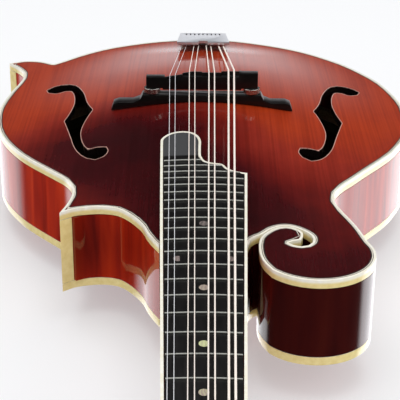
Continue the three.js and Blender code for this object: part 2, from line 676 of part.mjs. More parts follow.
// Tailpiece: a cast plate bent over the tail, with a comb of slots and a lip over the strings
const lipOverhang = 48.7;
const lipTop = 13.5;
const lipDepth = 1.9;
const castThickness = 2.4;
const bendHeight = 6.3;
const bendRun = 5;
const hangDepth = 36;
const lipHalf = 20;
const heelHalf = 18.2;
const combPitch = 3.3;
const combTeeth = 9;
const combWidth = 1.1;
const combReach = 8;
const notchHalf = 3.4;
const notchDepth = 7;
const hookSetback = 23;
const hookDepth = 4;
const hookThickness = 3;
const lipPlace = bodyReach - lipOverhang;
const hookPlace = lipPlace + hookSetback;
const plateIn = bodyReach + fitGap;
const plateOut = plateIn + tailpiecePlate;
const tailProfile = [
  [plateIn, -hangDepth], [plateOut, -hangDepth], [plateOut, bendHeight - bendRun],
  [plateOut - bendRun * 0.35, bendHeight - bendRun * 0.25], [plateOut - bendRun, bendHeight],
  [lipPlace, lipTop], [lipPlace, lipTop - lipDepth],
  [lipPlace + castThickness, lipTop - castThickness],
  [hookPlace, lipTop - castThickness - (lipTop - bendHeight) * 0.48],
  [hookPlace, lipTop - castThickness - (lipTop - bendHeight) * 0.48 - hookDepth],
  [hookPlace + hookThickness, lipTop - castThickness - (lipTop - bendHeight) * 0.48 - hookDepth],
  [hookPlace + hookThickness, lipTop - castThickness - (lipTop - bendHeight) * 0.55],
  [plateIn - bendRun * 0.9, bendHeight - castThickness],
  [plateIn, bendHeight - bendRun - castThickness * 0.6],
];
const tailPlan = vectors([
  [-heelHalf, plateOut + cutMargin], [heelHalf, plateOut + cutMargin], [heelHalf, bodyReach - bendRun],
  [lipHalf, lipPlace + castThickness], [lipHalf, lipPlace - cutMargin],
  [-lipHalf, lipPlace - cutMargin], [-lipHalf, lipPlace + castThickness], [-heelHalf, bodyReach - bendRun],
]);
let tailpiece = solidOf(sideSlab(vectors(tailProfile), -wideOut, wideOut))
  .intersect(solidOf(slab(tailPlan, -wideOut, wideOut)))
  .subtract(solidOf(block(-notchHalf, notchHalf, lipPlace - cutMargin, lipPlace + notchDepth, 0, wideOut)))
  .subtract(solidOf(rod(buttonNeckRadius + fitGap, -cutOverrun, cutOverrun, endPegSides)
    .rotateX(-Math.PI / 2).translate(0, bodyReach, buttonPlace)));
for (let tooth = 0; tooth < combTeeth; tooth += 1) {
  const x = (tooth - (combTeeth - 1) / 2) * combPitch;
  const combNear = bodyReach - bendRun - combReach;
  tailpiece = tailpiece.subtract(solidOf(
    block(x - combWidth / 2, x + combWidth / 2, combNear, bodyReach - bendRun, 0, wideOut)));
}
piece(bodyFrame, "tailpiece", geometryOf(tailpiece), chrome);

// Neck: shaft, heel with its dovetail, and headstock, in one piece of maple
const boardThickness = 5.6;
const shaftTop = -boardThickness - fitGap;
const neckDepthAtNut = 15.5;
const neckDepthAtHeel = 17.5;
const heelLength = 54.4;
const heelFootLength = 15;
const heelStart = joinPlace - heelLength;
const heelFull = joinPlace + heelFace - heelFootLength;
const heelDrop = edgeDepth * 1.22;
const neckTail = 20;
const neckEnd = joinPlace + neckTail;
const heelSinkShare = [[0, 0], [0.35, 0.06], [0.6, 0.27], [0.8, 0.68], [1, 1]];
const neckStations = 13;
const halfArcSteps = 6;
const nutThickness = 5;
const heelNarrowShare = 0.9;
const heelCapThickness = 3;

const bodyToNeck = new THREE.Matrix4().compose(
  bodyFrame.position, new THREE.Quaternion().setFromEuler(bodyFrame.rotation), new THREE.Vector3(1, 1, 1));
const neckToBody = bodyToNeck.clone().invert();
const inNeckFrame = (solid) => solidOf(geometryOf(solid).applyMatrix4(bodyToNeck));
const inBodyFrame = (solid) => solidOf(geometryOf(solid).applyMatrix4(neckToBody));

function neckRing(y) {
  const half = boardWidthAt(Math.min(y, joinPlace)) / 2 - fitGap;
  const heelShare = THREE.MathUtils.clamp((y - heelStart) / (heelFull - heelStart), 0, 1);
  const sink = alongTable(heelSinkShare, heelShare);
  const shaftDepth = neckDepthAtNut + ((neckDepthAtHeel - neckDepthAtNut) * y) / joinPlace;
  const depth = shaftDepth + (heelDrop - shaftDepth) * sink;
  const ring = [];
  for (let i = 0; i <= 2 * halfArcSteps; i += 1) {
    const sweep = (Math.PI * i) / (2 * halfArcSteps);
    const across = Math.sign(Math.cos(sweep)) * Math.abs(Math.cos(sweep)) ** heelNarrowShare;
    ring.push(new THREE.Vector3(half * across, y, shaftTop - depth * Math.sin(sweep)));
  }
  return ring;
}
const neckRings = [];
for (let i = 0; i <= neckStations; i += 1) {
  neckRings.push(neckRing(-nutThickness + ((heelStart + nutThickness) * i) / neckStations));
}
const heelStations = 7;
for (let i = 1; i <= heelStations; i += 1) {
  neckRings.push(neckRing(heelStart + ((heelFull - heelStart) * i) / heelStations));
}
neckRings.push(neckRing(neckEnd));
const rawNeck = solidOf(loft(neckRings));
const pastHeel = solidOf(
  block(-wideOut, wideOut, heelFace - fitGap, wideOut, -wideOut, wideOut));
const underHeel = (top) =>
  solidOf(block(-wideOut, wideOut, -heelLength * 1.5, heelFace, -wideOut, top));
const heelFoot = heelCapThickness - edgeDepth;
const shaft = rawNeck
  .subtract(inNeckFrame(pastHeel))
  .subtract(inNeckFrame(underHeel(heelFoot + fitGap)));
const heelCap = inBodyFrame(rawNeck)
  .subtract(pastHeel)
  .intersect(underHeel(heelFoot))
  .subtract(underHeel(-edgeDepth));
piece(bodyFrame, "heel_cap", geometryOf(heelCap), ivoroid);

// Headstock plan, bass side then treble side, as shares of its length
const headPitch = 14;
const headLength = 182;
const headThickness = 13.5;
const overlayThickness = 1.8;
const headShare = [
  [0.09, 0.0], [0.098, 0.05], [0.125, 0.115], [0.172, 0.165], [0.196, 0.215], [0.188, 0.3],
  [0.186, 0.45], [0.19, 0.62], [0.204, 0.69], [0.245, 0.73], [0.262, 0.78], [0.238, 0.82],
  [0.196, 0.81], [0.15, 0.83], [0.118, 0.885], [0.07, 0.955], [0.0, 0.985], [-0.07, 1.0],
  [-0.13, 0.975], [-0.155, 0.92], [-0.14, 0.875], [-0.11, 0.865], [-0.126, 0.835],
  [-0.165, 0.81], [-0.215, 0.79], [-0.225, 0.745], [-0.2, 0.69], [-0.19, 0.62], [-0.186, 0.45],
  [-0.188, 0.3], [-0.196, 0.215], [-0.172, 0.165], [-0.125, 0.115], [-0.098, 0.05], [-0.09, 0.0],
];
const headStep = 11;
headFrame.position.set(0, -nutThickness, shaftTop);
headFrame.rotation.x = radians(headPitch);
headFrame.updateMatrix();
const headToNeck = headFrame.matrix.clone();
const headPoint = ([x, along]) => new THREE.Vector2(x * headLength, -along * headLength);
const headOutline = smoothRun(headShare.map(headPoint), headStep);

// Tuners: four a side on a plate, each a worm with its button and a post with its gear
const tunersPerSide = 4;
const firstTuner = 42;
const tunerPitch = 24;
const tunerSpread = 21;
const headPostRadius = 3;
const postHoleRadius = 3.6;
const postHeight = 13;
const barrelRadius = 2.4;
const barrelFoot = 4;
const barrelTop = 10.5;
const barrelFlare = 1;
const gearTeeth = 12;
const gearPitchRadius = 4.7;
const toothHeight = 0.5;
const toothRoot = 0.9;
const toothHalfAngleShare = 0.1;
const gearThickness = 3;
const wormPitchRadius = 2.3;
const wormCore = 1.5;
const wormOuter = 2.9;
const threadHalf = 0.34;
const threadTurns = 2.4;
const threadStepsPerTurn = 7;
const shaftRadius = 1.4;
const tunerPlateThickness = 1.2;
const tunerPlateHalf = 7.5;
const tunerPlateEnd = 11;
const lugThickness = 1.3;
const lugOffset = 6.2;
const lugHalf = 2.8;
const lugReach = 1.8;
const buttonStart = 38.5;
const buttonLength = 14;
const buttonWide = 6.2;
const tunerSides = 8;

const plateTop = -headThickness - fitGap;
const plateFoot = plateTop - tunerPlateThickness;
const wormHeight = plateFoot - fitGap - wormOuter;
const gearTop = wormHeight + gearThickness / 2;
const gearFoot = wormHeight - gearThickness / 2;
const wormOffset = gearPitchRadius + wormPitchRadius;
const threadPitch = (2 * Math.PI * gearPitchRadius) / gearTeeth;
const tunerPlace = (k) => firstTuner + k * tunerPitch;

let headWood = solidOf(slab(headOutline, -headThickness, 0));
let overlay = solidOf(slab(headOutline, fitGap, overlayThickness + fitGap));
for (const side of [-1, 1]) {
  for (let k = 0; k < tunersPerSide; k += 1) {
    const hole = solidOf(rod(postHoleRadius, -cutOverrun, cutOverrun, tunerSides)
      .translate(side * tunerSpread, -tunerPlace(k), 0));
    headWood = headWood.subtract(hole);
    overlay = overlay.subtract(hole);
  }
}

// Truss rod in its channel, reached from under a cover on the headstock
const rodWidth = 5;
const rodDepth = 8;
const rodEnd = heelStart + neckTail;
const pocketReach = 14;
const pocketHalf = 5;
const coverLength = 44;
const coverHalf = 12;
const coverWaistShare = 0.55;
const coverSetback = 1;
const coverThickness = 1.8;
const headBox = new THREE.Matrix4().copy(headToNeck);
const rodChannel = solidOf(block(
  -rodWidth / 2 - fitGap, rodWidth / 2 + fitGap, -nutThickness - pocketReach, rodEnd + fitGap,
  shaftTop - rodDepth - fitGap, cutOverrun));
const pocket = solidOf(
  block(-pocketHalf, pocketHalf, -pocketReach, 0, -rodDepth - fitGap, cutOverrun)
    .applyMatrix4(headBox));
const neckWood = shaft
  .add(solidOf(geometryOf(headWood).applyMatrix4(headToNeck)))
  .add(inNeckFrame(dovetail(0)))
  .subtract(rodChannel)
  .subtract(pocket)
  .subtract(solidOf(block(-wideOut, wideOut, -nutThickness, wideOut * 2, shaftTop, cutOverrun)));
piece(neckFrame, "neck", geometryOf(neckWood), flamedMaple);
const trussRod = block(-rodWidth / 2, rodWidth / 2, -nutThickness, rodEnd,
  shaftTop - rodDepth, shaftTop - fitGap);
piece(neckFrame, "truss_rod", trussRod, steel);

overlay = overlay.subtract(solidOf(
  block(-pocketHalf, pocketHalf, -pocketReach, cutOverrun, -cutOverrun, cutOverrun)));
piece(headFrame, "head_overlay", geometryOf(overlay), ebony);

const coverFoot = overlayThickness + 2 * fitGap;
const coverOutline = smoothRun([
  [coverHalf * coverWaistShare, -coverSetback], [coverHalf * 0.8, -coverLength * 0.22],
  [coverHalf, -coverLength * 0.42], [coverHalf * 0.86, -coverLength * 0.62],
  [coverHalf * 0.4, -coverLength * 0.84], [0, -coverLength],
  [-coverHalf * 0.4, -coverLength * 0.84], [-coverHalf * 0.86, -coverLength * 0.62],
  [-coverHalf, -coverLength * 0.42], [-coverHalf * 0.8, -coverLength * 0.22],
  [-coverHalf * coverWaistShare, -coverSetback],
].map(([x, y]) => new THREE.Vector2(x, y)), curlStep);
piece(headFrame, "truss_rod_cover",
  slab(coverOutline, coverFoot, coverFoot + coverThickness), ebony);

// One thread of the worm, a ridge wound round the x axis
function thread() {
  const rings = [];
  const steps = Math.round(threadTurns * threadStepsPerTurn);
  const root = wormCore * 0.8;
  for (let i = 0; i <= steps; i += 1) {
    const turn = i / threadStepsPerTurn - threadTurns / 2;
    const sweep = 2 * Math.PI * turn + Math.PI;
    const x = threadPitch * turn;
    const spot = (along, radius) =>
      new THREE.Vector3(along, radius * Math.cos(sweep), radius * Math.sin(sweep));
    rings.push([
      spot(x + threadHalf * 1.3, root), spot(x + threadHalf * 0.75, wormOuter),
      spot(x - threadHalf * 0.75, wormOuter), spot(x - threadHalf * 1.3, root),
    ]);
  }
  return solidOf(loft(rings));
}

// The worm, its shaft and its button, along x from the middle of the plate outwards
function wormKnob(side) {
  const inner = tunerSpread - lugOffset - lugThickness - fitGap;
  const profile = [
    [0, inner], [shaftRadius, inner], [shaftRadius, tunerSpread - lugOffset + fitGap],
    [wormCore, tunerSpread - lugOffset + 2 * fitGap], [wormCore, tunerSpread + lugOffset - 2 * fitGap],
    [shaftRadius, tunerSpread + lugOffset - fitGap], [shaftRadius, buttonStart],
    [buttonWide * 0.55, buttonStart], [buttonWide * 0.8, buttonStart + buttonLength * 0.22],
    [buttonWide, buttonStart + buttonLength * 0.62], [buttonWide * 0.78, buttonStart + buttonLength * 0.93],
    [0, buttonStart + buttonLength],
  ];
  const along = turning(profile, tunerSides).rotateY((side * Math.PI) / 2);
  const ridge = geometryOf(thread()).translate(side * tunerSpread, 0, 0);
  return solidOf(along).add(solidOf(ridge));
}

// The gear under the plate and the string post above the headstock, in one turned piece
function gearPost() {
  const outline = [];
  for (let tooth = 0; tooth < gearTeeth; tooth += 1) {
    const middle = ((tooth + 0.5) * 2 * Math.PI) / gearTeeth + Math.PI / 2;
    const half = (toothHalfAngleShare * 2 * Math.PI) / gearTeeth;
    const spot = (sweep, radius) =>
      outline.push(new THREE.Vector2(radius * Math.cos(sweep), radius * Math.sin(sweep)));
    spot(middle - half, gearPitchRadius + toothHeight);
    spot(middle + half, gearPitchRadius + toothHeight);
    spot(middle + Math.PI / gearTeeth, gearPitchRadius - toothRoot);
  }
  const gear = solidOf(slab(outline, gearFoot, gearTop));
  const column = solidOf(turning([
    [0, gearFoot - toothRoot], [barrelRadius, gearFoot - toothRoot], [barrelRadius, plateFoot],
    [headPostRadius, plateFoot], [headPostRadius, barrelFoot],
    [barrelRadius, barrelFoot + barrelFlare], [barrelRadius, barrelTop],
    [headPostRadius, barrelTop + barrelFlare], [headPostRadius, postHeight], [0, postHeight],
  ], tunerSides));
  return gear.add(column);
}

function tunerPlate(side) {
  const from = firstTuner - tunerPlateEnd;
  const to = tunerPlace(tunersPerSide - 1) + tunerPlateEnd;
  const middle = side * tunerSpread;
  let plate = solidOf(block(middle - tunerPlateHalf, middle + tunerPlateHalf, -to, -from,
    plateFoot, plateTop));
  for (let k = 0; k < tunersPerSide; k += 1) {
    const at = -tunerPlace(k);
    for (const end of [-1, 1]) {
      const near = middle + end * lugOffset;
      const far = near + end * lugThickness;
      plate = plate.add(solidOf(block(
        Math.min(near, far), Math.max(near, far), at + wormOffset - lugHalf, at + wormOffset + lugHalf,
        wormHeight - lugReach - shaftRadius, plateTop - tunerPlateThickness / 2)));
    }
    plate = plate
      .subtract(solidOf(rod(postHoleRadius, -cutOverrun, 0, tunerSides).translate(middle, at, 0)))
      .subtract(solidOf(rod(shaftRadius + fitGap, -cutOverrun, cutOverrun, tunerSides)
        .rotateY(Math.PI / 2).translate(middle, at + wormOffset, wormHeight)));
  }
  return plate;
}

for (const [side, sign] of [["treble", -1], ["bass", 1]]) {
  piece(headFrame, `tuner_plate_${side}`, geometryOf(tunerPlate(sign)), nickel);
  for (let k = 0; k < tunersPerSide; k += 1) {
    const knob = piece(headFrame, `tuner_knob_${side}_${k + 1}`, geometryOf(wormKnob(sign)), pearl);
    knob.position.set(0, wormOffset - tunerPlace(k), wormHeight);
    const post = piece(headFrame, `string_post_${side}_${k + 1}`, geometryOf(gearPost()), nickel);
    post.position.set(sign * tunerSpread, -tunerPlace(k), 0);
  }
}

// Fingerboard, crowned, with an extension past its last bass frets, and its frets
const boardCrown = 300;
const fretHeight = 1;
const fretWidth = 1.6;
const boardBinding = 1.5;
const boardEdgeSteps = 2;
const scoopDepth = 1.2;
const scoopSetback = 5;
const scoopStart = fretPlace(fretCount) + scoopSetback;
const bassFret = 20;
const bassPastFret = 8.6;
const bassEnd = fretPlace(bassFret) + bassPastFret;
const extensionShare = [
  [0.93, 0.0], [0.62, 0.04], [0.52, 0.1], [0.44, 0.165], [0.13, 0.2], [0.05, 0.22], [-0.03, 0.3],
  [-0.062, 0.42], [-0.064, 0.62], [-0.062, 0.76], [-0.12, 0.88], [-0.24, 0.965], [-0.39, 1.0],
  [-0.62, 1.0], [-0.8, 0.955], [-0.93, 0.875], [-0.985, 0.8],
];
const extensionReach = 54;

const crownDrop = (x) => boardCrown - Math.sqrt(boardCrown ** 2 - x ** 2);
const boardPoint = ([x, along]) => {
  const y = bassEnd + along * extensionReach;
  return new THREE.Vector2((x * boardWidthAt(y)) / 2, y);
};
const boardOutline = [
  new THREE.Vector2(-boardWidthAt(0) / 2, 0),
  ...smoothRun(extensionShare.map(boardPoint), curlStep * 1.3).reverse(),
  new THREE.Vector2(boardWidthAt(bassEnd) / 2, bassEnd),
  new THREE.Vector2(boardWidthAt(0) / 2, 0),
];
const insideBoard = inset(boardOutline, boardBinding);
const boardCore = inset(boardOutline, boardBinding + fitGap);

// A strip across the board between two heights that follow its crown
function crownedStrip(near, far, low, high, half) {
  const lowRow = [];
  const highRow = [];
  for (let i = -boardEdgeSteps; i <= boardEdgeSteps; i += 1) {
    const x = (half * i) / boardEdgeSteps;
    lowRow.push([x, low === null ? -boardThickness : low - crownDrop(x)]);
    highRow.push([x, high - crownDrop(x)]);
  }
  return solidOf(crossSlab(vectors([...lowRow, ...highRow.reverse()]), near, far));
}
const boardHalfMost = boardWidthAt(bassEnd + extensionReach) / 2 + cutMargin;
const crowned = crownedStrip(0, bassEnd + extensionReach + cutMargin, null, 0, boardHalfMost)
  .subtract(crownedStrip(scoopStart, wideOut, -scoopDepth, cutOverrun, boardHalfMost + cutMargin));
let frets = crownedStrip(fretPlace(1) - fretWidth / 2, fretPlace(1) + fretWidth / 2,
  -fretHeight, fretHeight, boardHalfMost);
for (let fret = 2; fret <= fretCount; fret += 1) {
  const at = fretPlace(fret);
  frets = frets.add(crownedStrip(at - fretWidth / 2, at + fretWidth / 2,
    -fretHeight, fretHeight, boardHalfMost));
}
const board = crowned.add(frets).intersect(solidOf(slab(boardCore, -cutOverrun, cutOverrun)));
piece(neckFrame, "fingerboard", geometryOf(board), ebony);

const boardEdge = crowned
  .intersect(solidOf(slab(boardOutline, -cutOverrun, cutOverrun, insideBoard)))
  .subtract(solidOf(block(-boardWidthAt(0) / 2 + boardBinding + fitGap,
    boardWidthAt(0) / 2 - boardBinding - fitGap, -cutMargin, boardBinding + fitGap, -wideOut, wideOut)));
piece(neckFrame, "fingerboard_binding", geometryOf(boardEdge), ivoroid);

// Support under the board, from the neck onto the arched top
const supportReach = 48;
const supportInset = 1.2;
const supportEnd = joinPlace + supportReach;
const supportHalf = boardWidthAt(joinPlace) / 2 - supportInset;
const supportPlan = vectors([
  [-supportHalf, joinPlace + heelFace], [supportHalf, joinPlace + heelFace],
  [supportHalf, supportEnd - supportHalf], [supportHalf * 0.7, supportEnd - supportHalf * 0.35],
  [0, supportEnd], [-supportHalf * 0.7, supportEnd - supportHalf * 0.35],
  [-supportHalf, supportEnd - supportHalf],
]);
const ground = betweenSurfaces(() => -wideOut, (x, y) => Math.max(topOuter(x, y), 0) + 2 * fitGap, archGrid);
const support = solidOf(slab(supportPlan, -cutOverrun, shaftTop))
  .subtract(inNeckFrame(ground))
  .subtract(inNeckFrame(solidOf(
    block(-wideOut, wideOut, -wideOut, heelFace + fitGap, -wideOut, wideOut))));
piece(neckFrame, "fingerboard_support", geometryOf(support), flamedMaple);

// Nut
const nutRise = 1.9;
const slotRadius = 0.9;
const nutHalf = nutWidth / 2;
const stringLift = 0.75;
const stringAtNut = fretHeight + stringLift;
const stringPairs = (pitch, gap, shift) => {
  const places = [];
  for (let course = 0; course < courseCount; course += 1) {
    const middle = shift + courseX(pitch, course);
    places.push(middle - gap / 2, middle + gap / 2);
  }
  return places;
};
const nutPlaces = stringPairs(nutCoursePitch, nutPairGap, nutShift);
const bridgePlaces = stringPairs(bridgeCoursePitch, bridgePairGap, stringShift);
const tailPlaces = stringPairs(tailCoursePitch, tailPairGap, tailShift);
let nut = solidOf(crossSlab(vectors([
  [-nutHalf, shaftTop + fitGap], [nutHalf, shaftTop + fitGap], [nutHalf, nutRise - crownDrop(nutHalf)],
  [nutHalf / 2, nutRise], [-nutHalf / 2, nutRise], [-nutHalf, nutRise - crownDrop(nutHalf)],
]), -nutThickness, -fitGap));
for (const x of nutPlaces) {
  nut = nut.subtract(solidOf(
    block(x - slotRadius, x + slotRadius, -nutThickness - cutMargin, cutMargin, stringAtNut - slotRadius, cutOverrun)));
}
piece(neckFrame, "nut", geometryOf(nut), bone);

// Strings: from the hooks under the tailpiece over the saddle and the nut to their posts
const heaviestRadius = 0.6;
const gaugeShare = [0.27, 0.45, 0.67, 1];
const stringSides = 6;
const stringClear = 0.25;
const hookHeight = lipTop - castThickness - (lipTop - bendHeight) * 0.48 - hookDepth * 0.55;

function wire(path, radius) {
  const rings = path.map((point, i) => {
    const before = path[Math.max(i - 1, 0)];
    const after = path[Math.min(i + 1, path.length - 1)];
    const along = after.clone().sub(before).normalize();
    const side = new THREE.Vector3(0, 0, 1).cross(along).normalize();
    const up = along.clone().cross(side);
    const ring = [];
    for (let k = 0; k < stringSides; k += 1) {
      const sweep = (2 * Math.PI * k) / stringSides;
      ring.push(point.clone()
        .addScaledVector(side, radius * Math.cos(sweep))
        .addScaledVector(up, radius * Math.sin(sweep)));
    }
    return ring;
  });
  return loft(rings);
}

nutPlaces.forEach((nutX, i) => {
  const side = i < courseCount ? -1 : 1;
  const k = side < 0 ? i : 2 * courseCount - 1 - i;
  const course = Math.floor(i / 2);
  const radius = heaviestRadius * gaugeShare[course];
  const crest = saddleNear + stepShare[course] * (saddleThickness - stepLand) + stepLand / 2;
  const onSaddle = crownAt(bridgePlaces[i] + radius) + radius + stringClear;
  const hook = new THREE.Vector3(tailPlaces[i], hookPlace - fitGap, hookHeight).applyMatrix4(bodyToNeck);
  const behind = new THREE.Vector3(bridgePlaces[i], crest + stepLand * 0.5, onSaddle).applyMatrix4(bodyToNeck);
  const before = new THREE.Vector3(bridgePlaces[i], crest - stepLand * 0.5, onSaddle).applyMatrix4(bodyToNeck);
  const slotHeight = stringAtNut - slotRadius + stringClear + radius;
  const atNut = new THREE.Vector3(nutX, -fitGap, slotHeight);
  const pastNut = new THREE.Vector3(nutX, -nutThickness, slotHeight);
  const grip = tunerSpread - barrelRadius - radius - fitGap;
  const atPost = new THREE.Vector3(side * grip, -tunerPlace(k), (barrelFoot + barrelTop) / 2 + barrelFlare)
    .applyMatrix4(headToNeck);
  const look = i < 2 ? steel : bronze;
  piece(neckFrame, `string_${i + 1}`, wire([hook, behind, before, atNut, pastNut, atPost], radius), look);
});

// Rest on the back and the tip of the headstock, with the origin under the middle
function lowest(meshes) {
  mandola.updateMatrixWorld(true);
  const point = new THREE.Vector3();
  const found = new THREE.Vector3(0, 0, Infinity);
  for (const mesh of meshes) {
    const places = mesh.geometry.getAttribute("position");
    for (let i = 0; i < places.count; i += 1) {
      point.fromBufferAttribute(places, i).applyMatrix4(mesh.matrixWorld);
      if (point.z < found.z) found.copy(point);
    }
  }
  return found;
}
const named = (name) => mandola.getObjectByName(name);
const settleRounds = 6;
for (let round = 0; round < settleRounds; round += 1) {
  const back = lowest([named("back_plate")]);
  const head = lowest([named("neck")]);
  neckFrame.rotation.x += Math.atan2(head.z - back.z, back.y - head.y);
}
mandola.updateMatrixWorld(true);
const extent = new THREE.Box3().setFromObject(mandola, true);
const middle = extent.getCenter(new THREE.Vector3());
neckFrame.position.sub(new THREE.Vector3(middle.x, middle.y, extent.min.z));

export default mandola;
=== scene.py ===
import json
import math

import bmesh
import bpy
from mathutils import Matrix, Vector, geometry


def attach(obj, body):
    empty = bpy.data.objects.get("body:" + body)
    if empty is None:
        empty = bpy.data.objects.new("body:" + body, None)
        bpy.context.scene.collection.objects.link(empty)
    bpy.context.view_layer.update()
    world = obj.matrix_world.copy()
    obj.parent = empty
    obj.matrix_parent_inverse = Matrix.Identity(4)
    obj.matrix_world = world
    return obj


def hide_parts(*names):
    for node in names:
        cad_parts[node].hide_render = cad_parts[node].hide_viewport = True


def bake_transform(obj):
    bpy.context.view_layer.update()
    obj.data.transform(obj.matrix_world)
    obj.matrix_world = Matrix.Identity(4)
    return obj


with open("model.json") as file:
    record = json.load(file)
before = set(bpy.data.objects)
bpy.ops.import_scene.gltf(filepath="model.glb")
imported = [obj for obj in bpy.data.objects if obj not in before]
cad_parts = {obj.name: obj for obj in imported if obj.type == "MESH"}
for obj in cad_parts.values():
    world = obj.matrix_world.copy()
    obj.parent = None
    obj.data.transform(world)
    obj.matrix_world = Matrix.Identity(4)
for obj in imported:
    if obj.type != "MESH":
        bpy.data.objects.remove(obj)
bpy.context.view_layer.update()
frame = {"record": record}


# The room: a plain pale floor and a soft even surround. What the lacquer mirrors is a white table
# from the tail end outwards, a soft light overhead, and a dark room at the near end.

def linear(hex_colour, alpha=1.0):
    """An sRGB hex colour as linear red, green, blue and alpha."""
    channels = [int(hex_colour[i:i + 2], 16) / 255 for i in (1, 3, 5)]
    turned = [c / 12.92 if c <= 0.04045 else ((c + 0.055) / 1.055) ** 2.4 for c in channels]
    return (*turned, alpha)


def set_inputs(node, **inputs):
    """Links each input that is given as a socket and sets the others; i0 is a node's first."""
    for key, value in inputs.items():
        name = int(key[1:]) if key[1:].isdigit() else key.replace("_", " ")
        if isinstance(value, bpy.types.NodeSocket):
            node.id_data.links.new(value, node.inputs[name])
        else:
            node.inputs[name].default_value = value


def add_node(tree, kind, settings=None, **inputs):
    """A node of this kind with its settings and inputs."""
    node = tree.nodes.new(kind)
    for key, value in (settings or {}).items():
        setattr(node, key, value)
    set_inputs(node, **inputs)
    return node


surround = bpy.data.worlds.new("studio_surround")
bpy.context.scene.world = surround
surround.use_nodes = True
room = surround.node_tree
room.nodes.clear()
facing = add_node(room, "ShaderNodeTexCoord")
parts = add_node(room, "ShaderNodeSeparateXYZ", i0=facing.outputs["Generated"])
reach = add_node(room, "ShaderNodeMath", {"operation": "MULTIPLY_ADD"},
                 i0=parts.outputs["X"], i1=0.21, i2=parts.outputs["Y"])
behind_tail = add_node(room, "ShaderNodeMapRange", {"interpolation_type": "SMOOTHSTEP"},
                       Value=reach.outputs[0], From_Min=0.18, From_Max=0.42)
low_down = add_node(room, "ShaderNodeMapRange", {"interpolation_type": "SMOOTHSTEP"},
                    Value=parts.outputs["Z"], From_Min=0.36, From_Max=0.0)
table = add_node(room, "ShaderNodeMath", {"operation": "MULTIPLY"},
                 i0=behind_tail.outputs[0], i1=low_down.outputs[0])
overhead = add_node(room, "ShaderNodeMapRange", {"interpolation_type": "SMOOTHSTEP"},
                    Value=parts.outputs["Z"], From_Min=0.74, From_Max=0.9)
white_share = add_node(room, "ShaderNodeMath", {"operation": "MAXIMUM"},
                       i0=table.outputs[0], i1=overhead.outputs[0])
mirrored = add_node(room, "ShaderNodeMix", {"data_type": "RGBA"}, i0=white_share.outputs[0],
                    i6=linear("#100f0f"), i7=linear("#fbfafd"))
brightness = add_node(room, "ShaderNodeMapRange", Value=parts.outputs["Z"],
                      From_Min=-0.35, From_Max=0.05, i3=2.1, i4=0.85)
window_side = add_node(room, "ShaderNodeMapRange", Value=parts.outputs["X"],
                       From_Min=-0.6, From_Max=0.8, i3=0.78, i4=1.35)
glow = add_node(room, "ShaderNodeMath", {"operation": "MULTIPLY"},
                i0=brightness.outputs[0], i1=window_side.outputs[0])
in_gloss = add_node(room, "ShaderNodeBackground", Color=mirrored.outputs[2],
                    Strength=glow.outputs[0])
soft = add_node(room, "ShaderNodeBackground", Color=linear("#fdfdfe"), Strength=0.72)
backdrop = add_node(room, "ShaderNodeBackground", Color=linear("#f8f9fb"), Strength=1.0)
path = add_node(room, "ShaderNodeLightPath")
lit = add_node(room, "ShaderNodeMixShader", i0=path.outputs["Is Glossy Ray"],
               i1=soft.outputs[0], i2=in_gloss.outputs[0])
shown = add_node(room, "ShaderNodeMixShader", i0=path.outputs["Is Camera Ray"],
                 i1=lit.outputs[0], i2=backdrop.outputs[0])
add_node(room, "ShaderNodeOutputWorld", Surface=shown.outputs[0])


def lamp(name, place, target, size, power):
    """A soft square lamp at a place, turned towards a target."""
    bpy.ops.object.light_add(type="AREA", location=place)
    light = bpy.context.object
    light.name = name
    light.rotation_euler = (Vector(target) - Vector(place)).to_track_quat("-Z", "Y").to_euler()
    light.data.shape = "SQUARE"
    light.data.size = size
    light.data.energy = power


middle = (0.0, 0.15, 0.08)
lamp("overhead_softbox", (-0.1, 0.15, 1.7), middle, 1.5, 13)
lamp("side_softbox", (1.5, -0.5, 1.1), middle, 0.9, 4)

bpy.ops.object.select_all(action="DESELECT")
bpy.ops.mesh.primitive_plane_add(size=12, location=(0, 0, -0.0005))
floor = bpy.context.object
floor.name = "floor"
paper = bpy.data.materials.new("lit_white_table")
paper.use_nodes = True
set_inputs(paper.node_tree.nodes["Principled BSDF"], Base_Color=linear("#c6c7c8"),
           Emission_Color=linear("#fbfcfe"), Emission_Strength=0.37, Roughness=0.9)
floor.data.materials.append(paper)
floor.visible_glossy = False

# The camera stands behind the headstock and looks down the neck, as in the photograph.
CAMERA_PLACE = (0.000794, -0.588267, 0.406648)
CAMERA_ELEVATION = 26.693
CAMERA_AZIMUTH = 0.114
CAMERA_ROLL = 0.432
bpy.ops.object.camera_add(location=CAMERA_PLACE)
camera = bpy.context.object
camera.name = "camera"
turn = (Matrix.Rotation(-math.radians(CAMERA_AZIMUTH), 4, "Z")
        @ Matrix.Rotation(math.radians(90 - CAMERA_ELEVATION), 4, "X")
        @ Matrix.Rotation(math.radians(CAMERA_ROLL), 4, "Z"))
camera.rotation_euler = turn.to_euler()
camera.data.lens = 114.68
camera.data.sensor_width = 36
camera.data.clip_start = 0.01
bpy.context.scene.camera = camera
bpy.context.scene.view_settings.view_transform = "Standard"


# The soundboard: spruce, carved to an arch with a low edge, with two f-holes sawn through it,
# stained from orange-red to dark maroon and lacquered. Its frame starts at the neck joint.

MM = 0.001
BODY = Matrix(((1, 0, 0, 0.004127), (0, 0.999459, 0.032881, 0.029188),
               (0, -0.032881, 0.999459, 0.072454), (0, 0, 0, 1)))
NECK = Matrix(((1, 0, 0, 0.004127), (0, 0.998615, -0.05261, -0.221516),
               (0, 0.05261, 0.998615, 0.072264), (0, 0, 0, 1)))
HEAD = Matrix(((1, 0, 0, 0.004127), (0, 0.956225, -0.292634, -0.226198),
               (0, 0.292634, 0.956225, 0.066109), (0, 0, 0, 1)))


